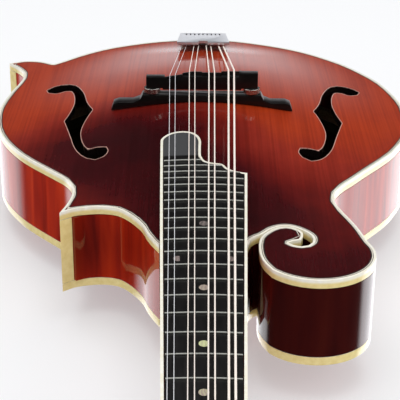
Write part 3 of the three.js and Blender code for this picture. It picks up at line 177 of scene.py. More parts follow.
def only(piece):
    """Makes a piece the only one selected, and active."""
    bpy.ops.object.select_all(action="DESELECT")
    piece.hide_set(False)
    piece.select_set(True)
    bpy.context.view_layer.objects.active = piece


def copy_of(node, name, home):
    """A copy of a CAD node's mesh in a frame, with its loose triangles merged into flat faces."""
    mesh = bpy.data.objects[node].data.copy()
    mesh.materials.clear()
    mesh.transform(home.inverted())
    piece = bpy.data.objects.new(name, mesh)
    bpy.context.scene.collection.objects.link(piece)
    only(piece)
    bpy.ops.object.mode_set(mode="EDIT")
    bpy.ops.mesh.select_all(action="SELECT")
    bpy.ops.mesh.remove_doubles(threshold=2e-6)
    bpy.ops.mesh.dissolve_limited(angle_limit=math.radians(0.5))
    bpy.ops.object.mode_set(mode="OBJECT")
    return piece


def round_length(line):
    """The length once round a closed line."""
    return sum((a - b).length for a, b in zip(line, line[1:] + line[:1]))


def rim_loops(node, home, way=1):
    """The closed edge lines round a node's upward faces, in millimetres of a frame, longest first.
    A way of -1 takes the downward faces."""
    mesh = bmesh.new()
    mesh.from_mesh(bpy.data.objects[node].data)
    bmesh.ops.remove_doubles(mesh, verts=mesh.verts, dist=2e-6)
    bmesh.ops.transform(mesh, matrix=home.inverted(), verts=mesh.verts)
    mesh.normal_update()
    up = {face for face in mesh.faces if face.normal.z * way > 0.6}
    rim = [edge for edge in mesh.edges if sum(face in up for face in edge.link_faces) == 1]
    links = {}
    for edge in rim:
        face = next(f for f in edge.link_faces if f in up)
        for loop in face.loops:
            if loop.edge == edge:
                links.setdefault(loop.vert, []).append(loop.link_loop_next.vert)
    loops = []
    while links:
        start = next(iter(links))
        line, here = [], start
        while here in links:
            following = links[here].pop()
            if not links[here]:
                del links[here]
            line.append(Vector(here.co) / MM)
            here = following
        loops.append(line)
    mesh.free()
    return sorted(loops, key=round_length, reverse=True)


def smoothed(line, step, corner=38, closed=True):
    """A line through the same points with even curves between them; sharp corners stay."""
    count = len(line)
    sharp = set()
    for i in range(count):
        before, here, after = line[i - 1], line[i], line[(i + 1) % count]
        if (here - before).angle(after - here, 0.0) > math.radians(corner):
            sharp.add(i)
    result = []
    for i in range(count):
        p1, p2 = line[i], line[(i + 1) % count]
        p0 = line[i - 1] if i not in sharp else p1 * 2 - p2
        p3 = line[(i + 2) % count] if (i + 1) % count not in sharp else p2 * 2 - p1
        span = (p2 - p1).length
        m1 = (p2 - p0) * (span / max((p2 - p1).length + (p1 - p0).length, 1e-6))
        m2 = (p3 - p1) * (span / max((p3 - p2).length + (p2 - p1).length, 1e-6))
        pieces = max(1, round(span / step))
        for k in range(pieces):
            t = k / pieces
            result.append((2 * t ** 3 - 3 * t ** 2 + 1) * p1 + (t ** 3 - 2 * t ** 2 + t) * m1
                          + (3 * t ** 2 - 2 * t ** 3) * p2 + (t ** 3 - t ** 2) * m2)
    return result


def plan_line(node, home, step, way=1, corner=38):
    """The outline of a node seen along z, smoothed, in millimetres of a frame."""
    return smoothed([point.xy.to_3d() for point in rim_loops(node, home, way)[0]], step, corner)


def prism(name, line, low, high):
    """A closed flat outline raised from one height to another, in millimetres."""
    bpy.ops.object.select_all(action="DESELECT")
    bpy.ops.mesh.primitive_circle_add(vertices=len(line), radius=1, fill_type="NGON")
    piece = bpy.context.object
    piece.name = name
    for vertex, point in zip(piece.data.vertices, line):
        vertex.co = (point.x * MM, point.y * MM, low * MM)
    bpy.ops.object.mode_set(mode="EDIT")
    bpy.ops.mesh.select_all(action="SELECT")
    bpy.ops.mesh.extrude_region_move(TRANSFORM_OT_translate={"value": (0, 0, (high - low) * MM)})
    bpy.ops.mesh.select_all(action="SELECT")
    bpy.ops.mesh.normals_make_consistent(inside=False)
    bpy.ops.object.mode_set(mode="OBJECT")
    return piece


def apply_boolean(piece, cutter, operation):
    """Joins or cuts a piece with another, which is then taken away."""
    only(piece)
    change = piece.modifiers.new("cut", "BOOLEAN")
    change.operation = operation
    change.object = cutter
    change.solver = "EXACT"
    bpy.ops.object.modifier_apply(modifier="cut")
    bpy.data.objects.remove(cutter, do_unlink=True)


SHARP_EDGE = 30


def soften(piece, width, segments=2):
    """Rounds a piece's edges by a width in millimetres."""
    only(piece)
    change = piece.modifiers.new("soften", "BEVEL")
    change.width = width * MM
    change.segments = segments
    change.limit_method = "ANGLE"
    change.angle_limit = math.radians(SHARP_EDGE)
    change.use_clamp_overlap = True
    bpy.ops.object.modifier_apply(modifier="soften")


FAR_OFF = 150
OFFSET_SLACK = 0.97
CLOSEST_STEP = 0.05


def drawn_in(line, distance):
    """A closed line moved to its inner side by a distance in millimetres, without its own folds."""
    count = len(line)
    area = sum(a.x * b.y - a.y * b.x for a, b in zip(line, line[1:] + line[:1]))
    turn_in = 1 if area > 0 else -1
    moved = []
    for i in range(count):
        along = (line[(i + 1) % count] - line[i - 1]).normalized()
        moved.append(line[i] + Vector((-along.y, along.x, 0)) * (turn_in * distance))
    ends = list(zip(line, line[1:] + line[:1]))
    kept = []
    for point in moved:
        nearest = 1e9
        for start, end in ends:
            if (start - point).length_squared > FAR_OFF:
                continue
            share = geometry.intersect_point_line(point, start, end)[1]
            share = min(max(share, 0.0), 1.0)
            nearest = min(nearest, (start.lerp(end, share) - point).length)
        if nearest > abs(distance) * OFFSET_SLACK:
            kept.append(point)
    return kept


def unfolded(line):
    """A closed line without the points at which it steps back against its own run."""
    kept = [line[0]]
    for i in range(1, len(line)):
        along = (line[(i + 1) % len(line)] - line[i - 1]).normalized()
        if (line[i] - kept[-1]).dot(along) > CLOSEST_STEP:
            kept.append(line[i])
    return kept


def set_piece(piece, home, material, nodes, body="instrument", angle=35):
    """Puts a finished piece in its frame, smooths it, ties it to its body and hides its CAD nodes.
    """
    piece.data.transform(home)
    piece.data.materials.clear()
    piece.data.materials.append(material)
    only(piece)
    bpy.ops.object.shade_smooth_by_angle(angle=math.radians(angle))
    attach(piece, body)
    if nodes:
        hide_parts(*nodes)


def new_material(name):
    """A new material, its node tree, its shader, and the place of each point in metres."""
    material = bpy.data.materials.new(name)
    material.use_nodes = True
    tree = material.node_tree
    place = add_node(tree, "ShaderNodeTexCoord").outputs["Object"]
    return material, tree, tree.nodes["Principled BSDF"], place


def ramp(tree, source, stops):
    """Colours or greys along a value: a list of (place, hex colour)."""
    node = add_node(tree, "ShaderNodeValToRGB", i0=source)
    elements = node.color_ramp.elements
    while len(elements) < len(stops):
        elements.new(0.5)
    for element, (place, colour) in zip(elements, stops):
        element.position = place
        element.color = linear(colour)
    return node


ARCH_WIDTH = [(-0.04, 0.1), (0.06, 0.3), (0.17, 0.5), (0.34, 0.78), (0.54, 0.95), (0.73, 0.88),
              (0.89, 0.64), (0.97, 0.3), (1.0, 0.1)]
ARCH_HEIGHT = [(-0.04, 0), (0.06, 0.2), (0.17, 0.5), (0.34, 0.86), (0.52, 1), (0.71, 0.88),
               (0.86, 0.46), (0.94, 0.12), (1.0, 0)]
ARCH_POWER = 2.2
BODY_HALF = 140.5
BODY_REACH = 358.5
EDGE_DEPTH = 51.5
PLATE_EDGE = 4.9
TOP_ARCH = 13.6
BACK_ARCH = 13.8
INNER_ARCH = 0.9
GRID_COLUMNS = 110
GRID_ROWS = 150
GRID_WIDTH = 320
GRID_LENGTH = 436
GRID_MIDDLE = 154
OUTLINE_LOW = -120
OUTLINE_HIGH = 60
SAW_LOW = -20
SAW_HIGH = 40
BODY_STEP = 3
F_HOLE_STEP = 1.6
F_HOLE_CORNER = 60


def along_table(table, at):
    """A value read from a table of places and values, smooth between its rows."""
    if at <= table[0][0]:
        return table[0][1]
    if at >= table[-1][0]:
        return table[-1][1]
    k = next(i for i, row in enumerate(table) if row[0] > at) - 1

    def slope(i):
        """The rise of the table through a row."""
        before, after = table[max(i - 1, 0)], table[min(i + 1, len(table) - 1)]
        return (after[1] - before[1]) / (after[0] - before[0])

    (x0, y0), (x1, y1) = table[k], table[k + 1]
    span = x1 - x0
    t = (at - x0) / span
    return (y0 + (y1 - y0) * (3 - 2 * t) * t * t + t * (1 - t) ** 2 * span * slope(k)
            + t * t * (t - 1) * span * slope(k + 1))


def arch_at(x, y):
    """The share of the full arch at a place on a plate, from 0 at its edge to 1."""
    along = y / BODY_REACH
    across = min(abs(x) / (BODY_HALF * along_table(ARCH_WIDTH, along)), 1)
    recurve = max(math.cos(math.pi / 2 * across), 0) ** ARCH_POWER
    return max(along_table(ARCH_HEIGHT, along), 0) * recurve


def carved_plate(name, outline, arch, face, back_to):
    """A plate with a carved face over a flat grid, cut to its outline."""
    bpy.ops.object.select_all(action="DESELECT")
    bpy.ops.mesh.primitive_grid_add(x_subdivisions=GRID_COLUMNS, y_subdivisions=GRID_ROWS, size=1)
    piece = bpy.context.object
    piece.name = name
    for vertex in piece.data.vertices:
        x = vertex.co.x * GRID_WIDTH
        y = GRID_MIDDLE + vertex.co.y * GRID_LENGTH
        vertex.co = (x * MM, y * MM, (face + arch * arch_at(x, y)) * MM)
    bpy.ops.object.mode_set(mode="EDIT")
    bpy.ops.mesh.select_all(action="SELECT")
    bpy.ops.mesh.extrude_region_move()
    bpy.ops.object.mode_set(mode="OBJECT")
    count = len(piece.data.vertices) // 2
    for vertex in piece.data.vertices[count:]:
        inner = INNER_ARCH * arch * arch_at(vertex.co.x / MM, vertex.co.y / MM)
        vertex.co.z = (face + back_to + inner) * MM
    bpy.ops.object.mode_set(mode="EDIT")
    bpy.ops.mesh.select_all(action="SELECT")
    bpy.ops.mesh.normals_make_consistent(inside=False)
    bpy.ops.object.mode_set(mode="OBJECT")
    apply_boolean(piece, prism("outline", outline, OUTLINE_LOW, OUTLINE_HIGH), "INTERSECT")
    return piece


top_rims = rim_loops("top_plate", BODY)
plate_line = smoothed([p.xy.to_3d() for p in top_rims[0]], BODY_STEP)
f_lines = [smoothed([p.xy.to_3d() for p in line], F_HOLE_STEP, corner=F_HOLE_CORNER)
           for line in top_rims[1:3]]
soundboard = carved_plate("soundboard", plate_line, TOP_ARCH, 0, -PLATE_EDGE)
only(soundboard)
bpy.ops.object.duplicate()
whole_board = bpy.context.object
for f_line in f_lines:
    apply_boolean(soundboard, prism("f_hole_saw", f_line, SAW_LOW, SAW_HIGH), "DIFFERENCE")

# Lacquered spruce: annual rings run down the board under a red-brown stain that grows darker
# towards the neck, with a hard gloss lacquer rubbed out over it. Painted shade darkens a patch
# over the treble side, and the walls of the f-holes are painted near black as painted shade.
# Painted shade: a dark patch is painted round SHADE_SPOT, over the treble side.
SHADE_SPOT = (-0.042, 0.147, 0.08)
NECK_SPOT = (0.012, 0.07, 0.075)
BASE_GLOSS = 0.04
LACQUER_INDEX = 1.5
sunburst, tree, shader, place = new_material("sunburst_lacquered_spruce")
axes = add_node(tree, "ShaderNodeSeparateXYZ", i0=place)
from_neck = add_node(tree, "ShaderNodeMapRange", Value=axes.outputs["Y"],
                     From_Min=-0.06, From_Max=0.19)
shade_spot = add_node(tree, "ShaderNodeVectorMath", {"operation": "DISTANCE"}, i0=place,
                      i1=SHADE_SPOT)
in_shade = add_node(tree, "ShaderNodeMapRange", {"interpolation_type": "SMOOTHSTEP"},
                    Value=shade_spot.outputs["Value"], From_Min=0.018, From_Max=0.108,
                    i3=0.16, i4=1.0)
neck_spot = add_node(tree, "ShaderNodeVectorMath", {"operation": "DISTANCE"}, i0=place,
                     i1=NECK_SPOT)
by_neck = add_node(tree, "ShaderNodeMapRange", {"interpolation_type": "SMOOTHSTEP"},
                   Value=neck_spot.outputs["Value"], From_Min=0.015, From_Max=0.085, i3=0.3, i4=1.0)
shaded = add_node(tree, "ShaderNodeMath", {"operation": "MULTIPLY"},
                  i0=from_neck.outputs[0], i1=in_shade.outputs[0])
light = add_node(tree, "ShaderNodeMath", {"operation": "MULTIPLY"},
                 i0=shaded.outputs[0], i1=by_neck.outputs[0])
mottle = add_node(tree, "ShaderNodeTexNoise", Vector=place, Scale=30, Detail=5, Roughness=0.65)
uneven = add_node(tree, "ShaderNodeMath", {"operation": "MULTIPLY_ADD"},
                  i0=mottle.outputs["Fac"], i1=0.34, i2=-0.17)
drift = add_node(tree, "ShaderNodeMath", {"operation": "ADD"},
                 i0=light.outputs[0], i1=uneven.outputs[0])
stain = ramp(tree, drift.outputs[0], [(0.0, "#22060a"), (0.28, "#46090e"), (0.52, "#701812"),
                                      (0.76, "#922a1c"), (1.0, "#b03a16")])
stretch = add_node(tree, "ShaderNodeMapping", Vector=place, Scale=(620, 5, 5))
rings = add_node(tree, "ShaderNodeTexNoise", Vector=stretch.outputs[0], Scale=1.0, Detail=4,
                 Roughness=0.6)
darker = ramp(tree, rings.outputs["Fac"], [(0.36, "#c9b2a8"), (0.62, "#ffffff")])
colour = add_node(tree, "ShaderNodeMix", {"data_type": "RGBA", "blend_type": "MULTIPLY"},
                  i0=0.6, i6=stain.outputs[0], i7=darker.outputs[0])
# Painted shade: the steep walls of the f-holes are painted near black.
wall = add_node(tree, "ShaderNodeNewGeometry")
steepness = add_node(tree, "ShaderNodeSeparateXYZ", i0=wall.outputs["True Normal"])
flatness = add_node(tree, "ShaderNodeMath", {"operation": "ABSOLUTE"}, i0=steepness.outputs["Z"])
sawn = add_node(tree, "ShaderNodeMapRange", Value=flatness.outputs[0], From_Min=0.5, From_Max=0.3)
both = add_node(tree, "ShaderNodeMix", {"data_type": "RGBA"}, i0=sawn.outputs[0],
                i6=colour.outputs[2], i7=linear("#120b0a"))
set_inputs(shader, Base_Color=both.outputs[2])
ripple = add_node(tree, "ShaderNodeBump", Strength=0.1, Distance=0.0005,
                  Height=rings.outputs["Fac"])
set_inputs(shader, Normal=ripple.outputs[0], Roughness=0.42, Specular_IOR_Level=BASE_GLOSS,
           Coat_Weight=1.0, Coat_Roughness=0.05, Coat_IOR=LACQUER_INDEX)
set_piece(soundboard, BODY, sunburst, ["top_plate"])


# Bindings: strips of cream ivoroid 1.4 mm wide let in round both edges of the body. Inside the
# front one lie two purfling lines, white then black, 0.5 and 0.7 mm wide.

# Ivoroid: cast celluloid in fine cream layers, buffed to a low gloss. Its upward faces and a band
# just under the face are painted paler as painted light; the sides stay a deeper cream.
CREAM_START = 0.0026
CREAM_END = 0.0012
ivoroid, tree, shader, place = new_material("grained_ivoroid")
layers = add_node(tree, "ShaderNodeTexNoise", Vector=place, Scale=300, Detail=2)
edge_cream = ramp(tree, layers.outputs["Fac"], [(0.3, "#fbe9a6"), (0.7, "#efda90")])
# Painted light: the upward faces, and the band just under the face, are painted paler than the
# sides.
lit_face_cream = ramp(tree, layers.outputs["Fac"], [(0.3, "#fffdf2"), (0.7, "#f8f3dd")])
level = add_node(tree, "ShaderNodeSeparateXYZ",
                 i0=add_node(tree, "ShaderNodeNewGeometry").outputs["True Normal"])
on_face = add_node(tree, "ShaderNodeMapRange", Value=level.outputs["Z"],
                   From_Min=0.5, From_Max=0.85)
height = add_node(tree, "ShaderNodeVectorMath", {"operation": "DOT_PRODUCT"}, i0=place,
                  i1=BODY.col[2].to_3d())
face_height = BODY.col[2].to_3d().dot(BODY.translation)
near_face = add_node(tree, "ShaderNodeMapRange", Value=height.outputs["Value"],
                     From_Min=face_height - CREAM_START, From_Max=face_height - CREAM_END)
painted_face_light = add_node(tree, "ShaderNodeMath", {"operation": "MAXIMUM"},
                i0=on_face.outputs[0], i1=near_face.outputs[0])
cream = add_node(tree, "ShaderNodeMix", {"data_type": "RGBA"}, i0=painted_face_light.outputs[0],
                 i6=edge_cream.outputs[0], i7=lit_face_cream.outputs[0])
set_inputs(shader, Base_Color=cream.outputs[2], Roughness=0.3, Coat_Weight=0.8,
           Coat_Roughness=0.06)

BINDING_WIDTH = 1.4
BINDING_ROUND = 1.1
CUT_OVERRUN = 1
binding_line = plan_line("top_binding", BODY, BODY_STEP)
for name, low, high in (("top_binding", -PLATE_EDGE, 0),
                        ("back_binding", -EDGE_DEPTH, PLATE_EDGE - EDGE_DEPTH)):
    strip = prism(f"{name}_strip", binding_line, low, high)
    soften(strip, BINDING_ROUND, 4)
    inner = prism("inner_cut", drawn_in(binding_line, BINDING_WIDTH),
                  low - CUT_OVERRUN, high + CUT_OVERRUN)
    apply_boolean(strip, inner, "DIFFERENCE")
    set_piece(strip, BODY, ivoroid, [name], angle=50)


def fibre(name, light, dark):
    """Dyed vulcanised fibre: pressed paper with a faint fleck, flush and lacquered."""
    material, tree, shader, place = new_material(name)
    fleck = add_node(tree, "ShaderNodeTexNoise", Vector=place, Scale=900, Detail=2)
    shade = ramp(tree, fleck.outputs["Fac"], [(0.35, light), (0.65, dark)])
    set_inputs(shader, Base_Color=shade.outputs[0], Roughness=0.35, Coat_Weight=0.8,
               Coat_Roughness=0.08)
    return material


RING_LOW = -12
RING_HIGH = 42
RING_OVERRUN = 2
RING_DEPTH = 0.5
RING_LIFT = 0.03
WHITE_START = 0.02
WHITE_END = 0.55
BLACK_START = 0.58
BLACK_END = 1.3
# The width of the painted highlight round each f-hole.
F_HOLE_HIGHLIGHT_WIDTH = 0.45


def surface_ring(name, outer, inner, material):
    """A thin ring let into the face of the soundboard between two lines, just proud of it."""
    only(whole_board)
    bpy.ops.object.duplicate()
    ring = bpy.context.object
    ring.name = name
    outside = prism("outside_cut", unfolded(outer), RING_LOW, RING_HIGH)
    apply_boolean(ring, outside, "INTERSECT")
    inside = prism("inside_cut", unfolded(inner), RING_LOW - RING_OVERRUN, RING_HIGH + RING_OVERRUN)
    apply_boolean(ring, inside, "DIFFERENCE")
    only(whole_board)
    bpy.ops.object.duplicate()
    lower = bpy.context.object
    lower.data.transform(Matrix.Translation((0, 0, -RING_DEPTH * MM)))
    apply_boolean(ring, lower, "DIFFERENCE")
    ring.data.transform(Matrix.Translation((0, 0, RING_LIFT * MM)))
    set_piece(ring, BODY, material, [])


white_fibre = fibre("white_fibre_purfling", "#efe6d8", "#ddd2c0")
black_fibre = fibre("black_fibre_purfling", "#0b0809", "#151011")
surface_ring("white_purfling", drawn_in(plate_line, WHITE_START),
             drawn_in(plate_line, WHITE_END), white_fibre)
surface_ring("black_purfling", drawn_in(plate_line, BLACK_START),
             drawn_in(plate_line, BLACK_END), black_fibre)
# A pale ring of painted highlight runs round each f-hole, along its eased arris.
f_hole_highlight_look = fibre("painted_f_hole_highlight", "#dcb7a8", "#c48f80")
for side, f_line in zip(("treble", "bass"), f_lines):
    surface_ring(f"f_hole_arris_{side}", drawn_in(f_line, -F_HOLE_HIGHLIGHT_WIDTH), f_line, f_hole_highlight_look)
bpy.data.objects.remove(whole_board, do_unlink=True)


# Sides and back: flamed maple, the sides bent from strips 2.3 mm thick and the back carved.

FIT_GAP = 0.3
SIDE_WALL = 2.3
DARKEST = 0.92


def flamed_maple(name, scale, stops, shaded=()):
    """Lacquered maple: pale wood with cross flames, stained orange-red, with painted shade
    darkening it at the spots given, under a hard gloss lacquer rubbed out to a mirror."""
    material, tree, shader, place = new_material(name)
    drawn = add_node(tree, "ShaderNodeMapping", Vector=place, Scale=scale)
    flames = add_node(tree, "ShaderNodeTexNoise", Vector=drawn.outputs[0], Scale=1.0, Detail=2,
                      Distortion=0.4)
    cloud = add_node(tree, "ShaderNodeTexNoise", Vector=place, Scale=14, Detail=2)
    uneven = add_node(tree, "ShaderNodeMath", {"operation": "MULTIPLY_ADD"},
                      i0=cloud.outputs["Fac"], i1=0.35, i2=flames.outputs["Fac"])
    stained = ramp(tree, uneven.outputs[0], stops).outputs[0]
    for spot, near, far in shaded:
        away = add_node(tree, "ShaderNodeVectorMath", {"operation": "DISTANCE"}, i0=place,
                        i1=spot)
        share = add_node(tree, "ShaderNodeMapRange", {"interpolation_type": "SMOOTHSTEP"},
                         Value=away.outputs["Value"], From_Min=near, From_Max=far,
                         i3=DARKEST, i4=0.0)
        darkened = add_node(tree, "ShaderNodeMix", {"data_type": "RGBA"}, i0=share.outputs[0],
                            i6=stained, i7=linear("#1c0507"))
        stained = darkened.outputs[2]
    set_inputs(shader, Base_Color=stained, Roughness=0.4, Specular_IOR_Level=BASE_GLOSS,
               Coat_Weight=1.0, Coat_Roughness=0.04)
    return material


SIDE_STAIN = [(0.44, "#7c1508"), (0.62, "#a01f09"), (0.8, "#b82c0b"), (0.94, "#c63a12")]
BACK_STAIN = [(0.44, "#450a07"), (0.6, "#86180b"), (0.78, "#b03212"), (0.94, "#c4501d")]
# Painted shade on the sides: near black in the recess under the scroll and by the treble point.
SCROLL_SPOT = (0.06, -0.005, 0.05)
POINT_SPOT = (-0.075, 0.03, 0.05)
side_maple = flamed_maple("flamed_lacquered_side_maple", (120, 120, 9), SIDE_STAIN,
                          [(SCROLL_SPOT, 0.045, 0.085), (POINT_SPOT, 0.02, 0.062)])
side_line = plan_line("sides", BODY, BODY_STEP)
ribs = prism("bent_sides", side_line, PLATE_EDGE + FIT_GAP - EDGE_DEPTH, -PLATE_EDGE - FIT_GAP)
inner = prism("inner_cut", drawn_in(side_line, SIDE_WALL), -EDGE_DEPTH, 0)
apply_boolean(ribs, inner, "DIFFERENCE")
set_piece(ribs, BODY, side_maple, ["sides"])

back_maple = flamed_maple("flamed_lacquered_back_maple", (12, 120, 12), BACK_STAIN)
back_line = plan_line("back_plate", BODY, BODY_STEP, way=-1)

# The inner face of the back is bare wood; its upward faces are painted near black as painted shade,
# seen through the f-holes.
tree = back_maple.node_tree
shader = tree.nodes["Principled BSDF"]
level = add_node(tree, "ShaderNodeSeparateXYZ",
                 i0=add_node(tree, "ShaderNodeNewGeometry").outputs["True Normal"])
inside = add_node(tree, "ShaderNodeMapRange", Value=level.outputs["Z"], From_Min=0.3, From_Max=0.5)
painted_inner_shade = add_node(tree, "ShaderNodeMix", {"data_type": "RGBA"}, i0=inside.outputs[0],
                  i6=shader.inputs["Base Color"].links[0].from_socket, i7=linear("#1d130d"))
set_inputs(shader, Base_Color=painted_inner_shade.outputs[2])
carved_back = carved_plate("carved_back", back_line, -BACK_ARCH, -EDGE_DEPTH, PLATE_EDGE)
set_piece(carved_back, BODY, back_maple, ["back_plate"])


# Neck: shaft, heel and headstock in one piece of maple, with a black lacquered face and a
# black cover over the end of the truss rod.

neck_maple = flamed_maple("flamed_lacquered_neck_maple", (14, 130, 14), SIDE_STAIN)
neck_piece = copy_of("neck", "neck_and_headstock", NECK)
set_piece(neck_piece, NECK, neck_maple, ["neck"], angle=38)

# Black lacquer: sprayed over the face of the headstock and polished, with a trace of orange peel.
black_gloss, tree, shader, place = new_material("black_gloss_lacquer")
peel = add_node(tree, "ShaderNodeTexNoise", Vector=place, Scale=500, Detail=2)
waves = add_node(tree, "ShaderNodeBump", Strength=0.04, Distance=0.0003, Height=peel.outputs["Fac"])
set_inputs(shader, Normal=waves.outputs[0], Base_Color=linear("#0c0b0c"), Roughness=0.1)
for node, width in (("head_overlay", 0.5), ("truss_rod_cover", 0.5)):
    plate = copy_of(node, f"{node}_plate", HEAD)
    soften(plate, width)
    set_piece(plate, HEAD, black_gloss, [node])


# Fingerboard: ebony 5.6 mm thick, crowned to a 300 mm radius, with a scooped end, 23 frets,
# six pearl dots and a cream edge.

SCALE_LENGTH = 432.0
FRET_COUNT = 23
BOARD_THICKNESS = 5.6
BOARD_CROWN = 300.0
NUT_WIDTH = 32.8
JOIN_WIDTH = 47.7
JOIN_FRET = 15
SCOOP_SETBACK = 5.0
SCOOP_DEPTH = 1.2
SCOOP_HALF = 40
SCOOP_END = 420
SCOOP_RAISE = 4
CROWN_RAISE = 3
CROWN_SIDES = 1440
LOG_LENGTH = 1000
LOG_MIDDLE = 200
BOARD_STEP = 2
BOARD_CORNER = 50


def fret_place(fret):
    """How far a fret lies from the nut."""
    return SCALE_LENGTH * (1 - 2 ** (-fret / 12))


def crown_log(lift):
    """A long cylinder under the crown of the board."""
    bpy.ops.object.select_all(action="DESELECT")
    bpy.ops.mesh.primitive_cylinder_add(
        vertices=CROWN_SIDES, radius=BOARD_CROWN * MM, depth=LOG_LENGTH * MM,
        location=(0, LOG_MIDDLE * MM, (lift - BOARD_CROWN) * MM), rotation=(math.pi / 2, 0, 0))
    return bpy.context.object


def crowned(name, line):
    """A piece of the board's plan under the crown, with its end scooped out."""
    piece = prism(name, line, -BOARD_THICKNESS, CROWN_RAISE)
    apply_boolean(piece, crown_log(0), "INTERSECT")
    start = fret_place(FRET_COUNT) + SCOOP_SETBACK
    corners = [Vector((x, y, 0)) for x, y in ((-SCOOP_HALF, start), (SCOOP_HALF, start),
                                              (SCOOP_HALF, SCOOP_END), (-SCOOP_HALF, SCOOP_END))]
    scoop = prism("scoop", corners, -SCOOP_RAISE, SCOOP_RAISE)
    apply_boolean(scoop, crown_log(-SCOOP_DEPTH), "DIFFERENCE")
    apply_boolean(piece, scoop, "DIFFERENCE")
    return piece


# Ebony: near-black heartwood with short open pores along the board, scraped, oiled and buffed.
ebony, tree, shader, place = new_material("oiled_ebony")
drawn = add_node(tree, "ShaderNodeMapping", Vector=place, Scale=(900, 40, 900))
pores = add_node(tree, "ShaderNodeTexNoise", Vector=drawn.outputs[0], Scale=1.0, Detail=3)
shade = ramp(tree, pores.outputs["Fac"], [(0.35, "#040404"), (0.65, "#0f0c0b")])
set_inputs(shader, Base_Color=shade.outputs[0])
polish = add_node(tree, "ShaderNodeMapRange", Value=pores.outputs["Fac"], i3=0.24, i4=0.4)
set_inputs(shader, Roughness=polish.outputs[0])

# Painted glare: the scooped end of the board is painted grey, paler than the rest.
ebony_with_painted_glare = ebony.copy()
ebony_with_painted_glare.name = "ebony_with_scraped_end"
tree = ebony_with_painted_glare.node_tree
shader = tree.nodes["Principled BSDF"]
place = add_node(tree, "ShaderNodeTexCoord").outputs["Object"]
axes = add_node(tree, "ShaderNodeSeparateXYZ", i0=place)
GLARE_START = 0.1043
GLARE_BLEND = 0.001
# Painted glare: past this point the board is painted grey.
painted_glare_share = add_node(tree, "ShaderNodeMapRange", Value=axes.outputs["Y"],
                   From_Min=GLARE_START, From_Max=GLARE_START + GLARE_BLEND)
greyed = add_node(tree, "ShaderNodeMix", {"data_type": "RGBA"}, i0=painted_glare_share.outputs[0],
                  i6=shader.inputs["Base Color"].links[0].from_socket, i7=linear("#464748"))
set_inputs(shader, Base_Color=greyed.outputs[2])

board_line = plan_line("fingerboard", NECK, BOARD_STEP, way=-1, corner=BOARD_CORNER)
board = crowned("fingerboard_ebony", board_line)
set_piece(board, NECK, ebony_with_painted_glare, ["fingerboard"], angle=20)
edge_line = plan_line("fingerboard_binding", NECK, BOARD_STEP, way=-1, corner=BOARD_CORNER)
board_edge = crowned("fingerboard_edge", edge_line)
set_piece(board_edge, NECK, ivoroid, ["fingerboard_binding"], angle=20)

# Nickel silver fret wire: drawn, bent to the crown, filed round and polished.
fret_metal, tree, shader, place = new_material("polished_nickel_silver")
wear = add_node(tree, "ShaderNodeTexNoise", Vector=place, Scale=700, Detail=2)
polish = add_node(tree, "ShaderNodeMapRange", Value=wear.outputs["Fac"], i3=0.3, i4=0.46)
set_inputs(shader, Roughness=polish.outputs[0], Base_Color=linear("#8f908a"), Metallic=1.0)
FRET_HALF_WIDTH = 0.85
FRET_HEIGHT = 1.0
FRET_INSET = 2.2
FRET_END_GAP = 0.2
FRET_CUTS = 7


def joined(pieces, name):
    """Several pieces made into one."""
    bpy.ops.object.select_all(action="DESELECT")
    for piece in pieces:
        piece.select_set(True)
    bpy.context.view_layer.objects.active = pieces[0]
    bpy.ops.object.join()
    pieces[0].name = name
    return pieces[0]


wires = []
for fret in range(1, FRET_COUNT + 1):
    at = fret_place(fret)
    taper = (JOIN_WIDTH - NUT_WIDTH) * at / fret_place(JOIN_FRET)
    length = NUT_WIDTH + taper - 2 * FRET_INSET
    bpy.ops.object.select_all(action="DESELECT")
    bpy.ops.mesh.primitive_cylinder_add(vertices=16, radius=1.0, depth=1.0,
                                        rotation=(0, math.pi / 2, 0))
    wire = bpy.context.object
    bpy.ops.object.transform_apply(location=False, rotation=True, scale=False)
    bpy.ops.object.mode_set(mode="EDIT")
    bpy.ops.mesh.select_all(action="SELECT")
    bpy.ops.mesh.subdivide(number_cuts=FRET_CUTS)
    bpy.ops.object.mode_set(mode="OBJECT")
    for vertex in wire.data.vertices:
        x = vertex.co.x * length
        drop = x * x / (2 * BOARD_CROWN)
        vertex.co = (x * MM, (at + vertex.co.y * FRET_HALF_WIDTH) * MM,
                     (vertex.co.z * FRET_HEIGHT - drop) * MM)
    wires.append(wire)
frets = joined(wires, "fret_wires")
fret_ends = prism("fret_ends", drawn_in(board_line, FRET_END_GAP), -CROWN_RAISE, CROWN_RAISE)
apply_boolean(frets, fret_ends, "INTERSECT")
set_piece(frets, NECK, fret_metal, ["fingerboard"], angle=50)

# Mother-of-pearl: sawn shell in milky layers, ground flush. The grey-pink pieces are cut across
# the layers, and the one at the seventh fret along them, so it shines yellow-green.
pearl, tree, shader, place = new_material("mother_of_pearl")
waves = add_node(tree, "ShaderNodeTexWave", Vector=place, Scale=190, Distortion=7, Detail=2)
SEVENTH_DOT = (0.0, -0.0865, 0.0793)
away = add_node(tree, "ShaderNodeVectorMath", {"operation": "DISTANCE"}, i0=place,
                i1=SEVENTH_DOT)
figure = add_node(tree, "ShaderNodeMapRange", Value=away.outputs["Value"],
                  From_Min=0.015, From_Max=0.09, i3=0.8, i4=0.0)
drift = add_node(tree, "ShaderNodeMath", {"operation": "MULTIPLY_ADD"},
                 i0=waves.outputs["Fac"], i1=0.2, i2=figure.outputs[0])
milky = ramp(tree, drift.outputs[0], [(0.0, "#5d5754"), (0.3, "#8a7c78"), (0.6, "#a8988c"),
                                      (0.95, "#ccd29c")])
set_inputs(shader, Base_Color=milky.outputs[0], Roughness=0.3)
DOT_RADIUS = 2.5
DOT_DEPTH = 1.0
DOT_RISE = 0.04
TWELFTH_SPREAD = 13.4
dots = []
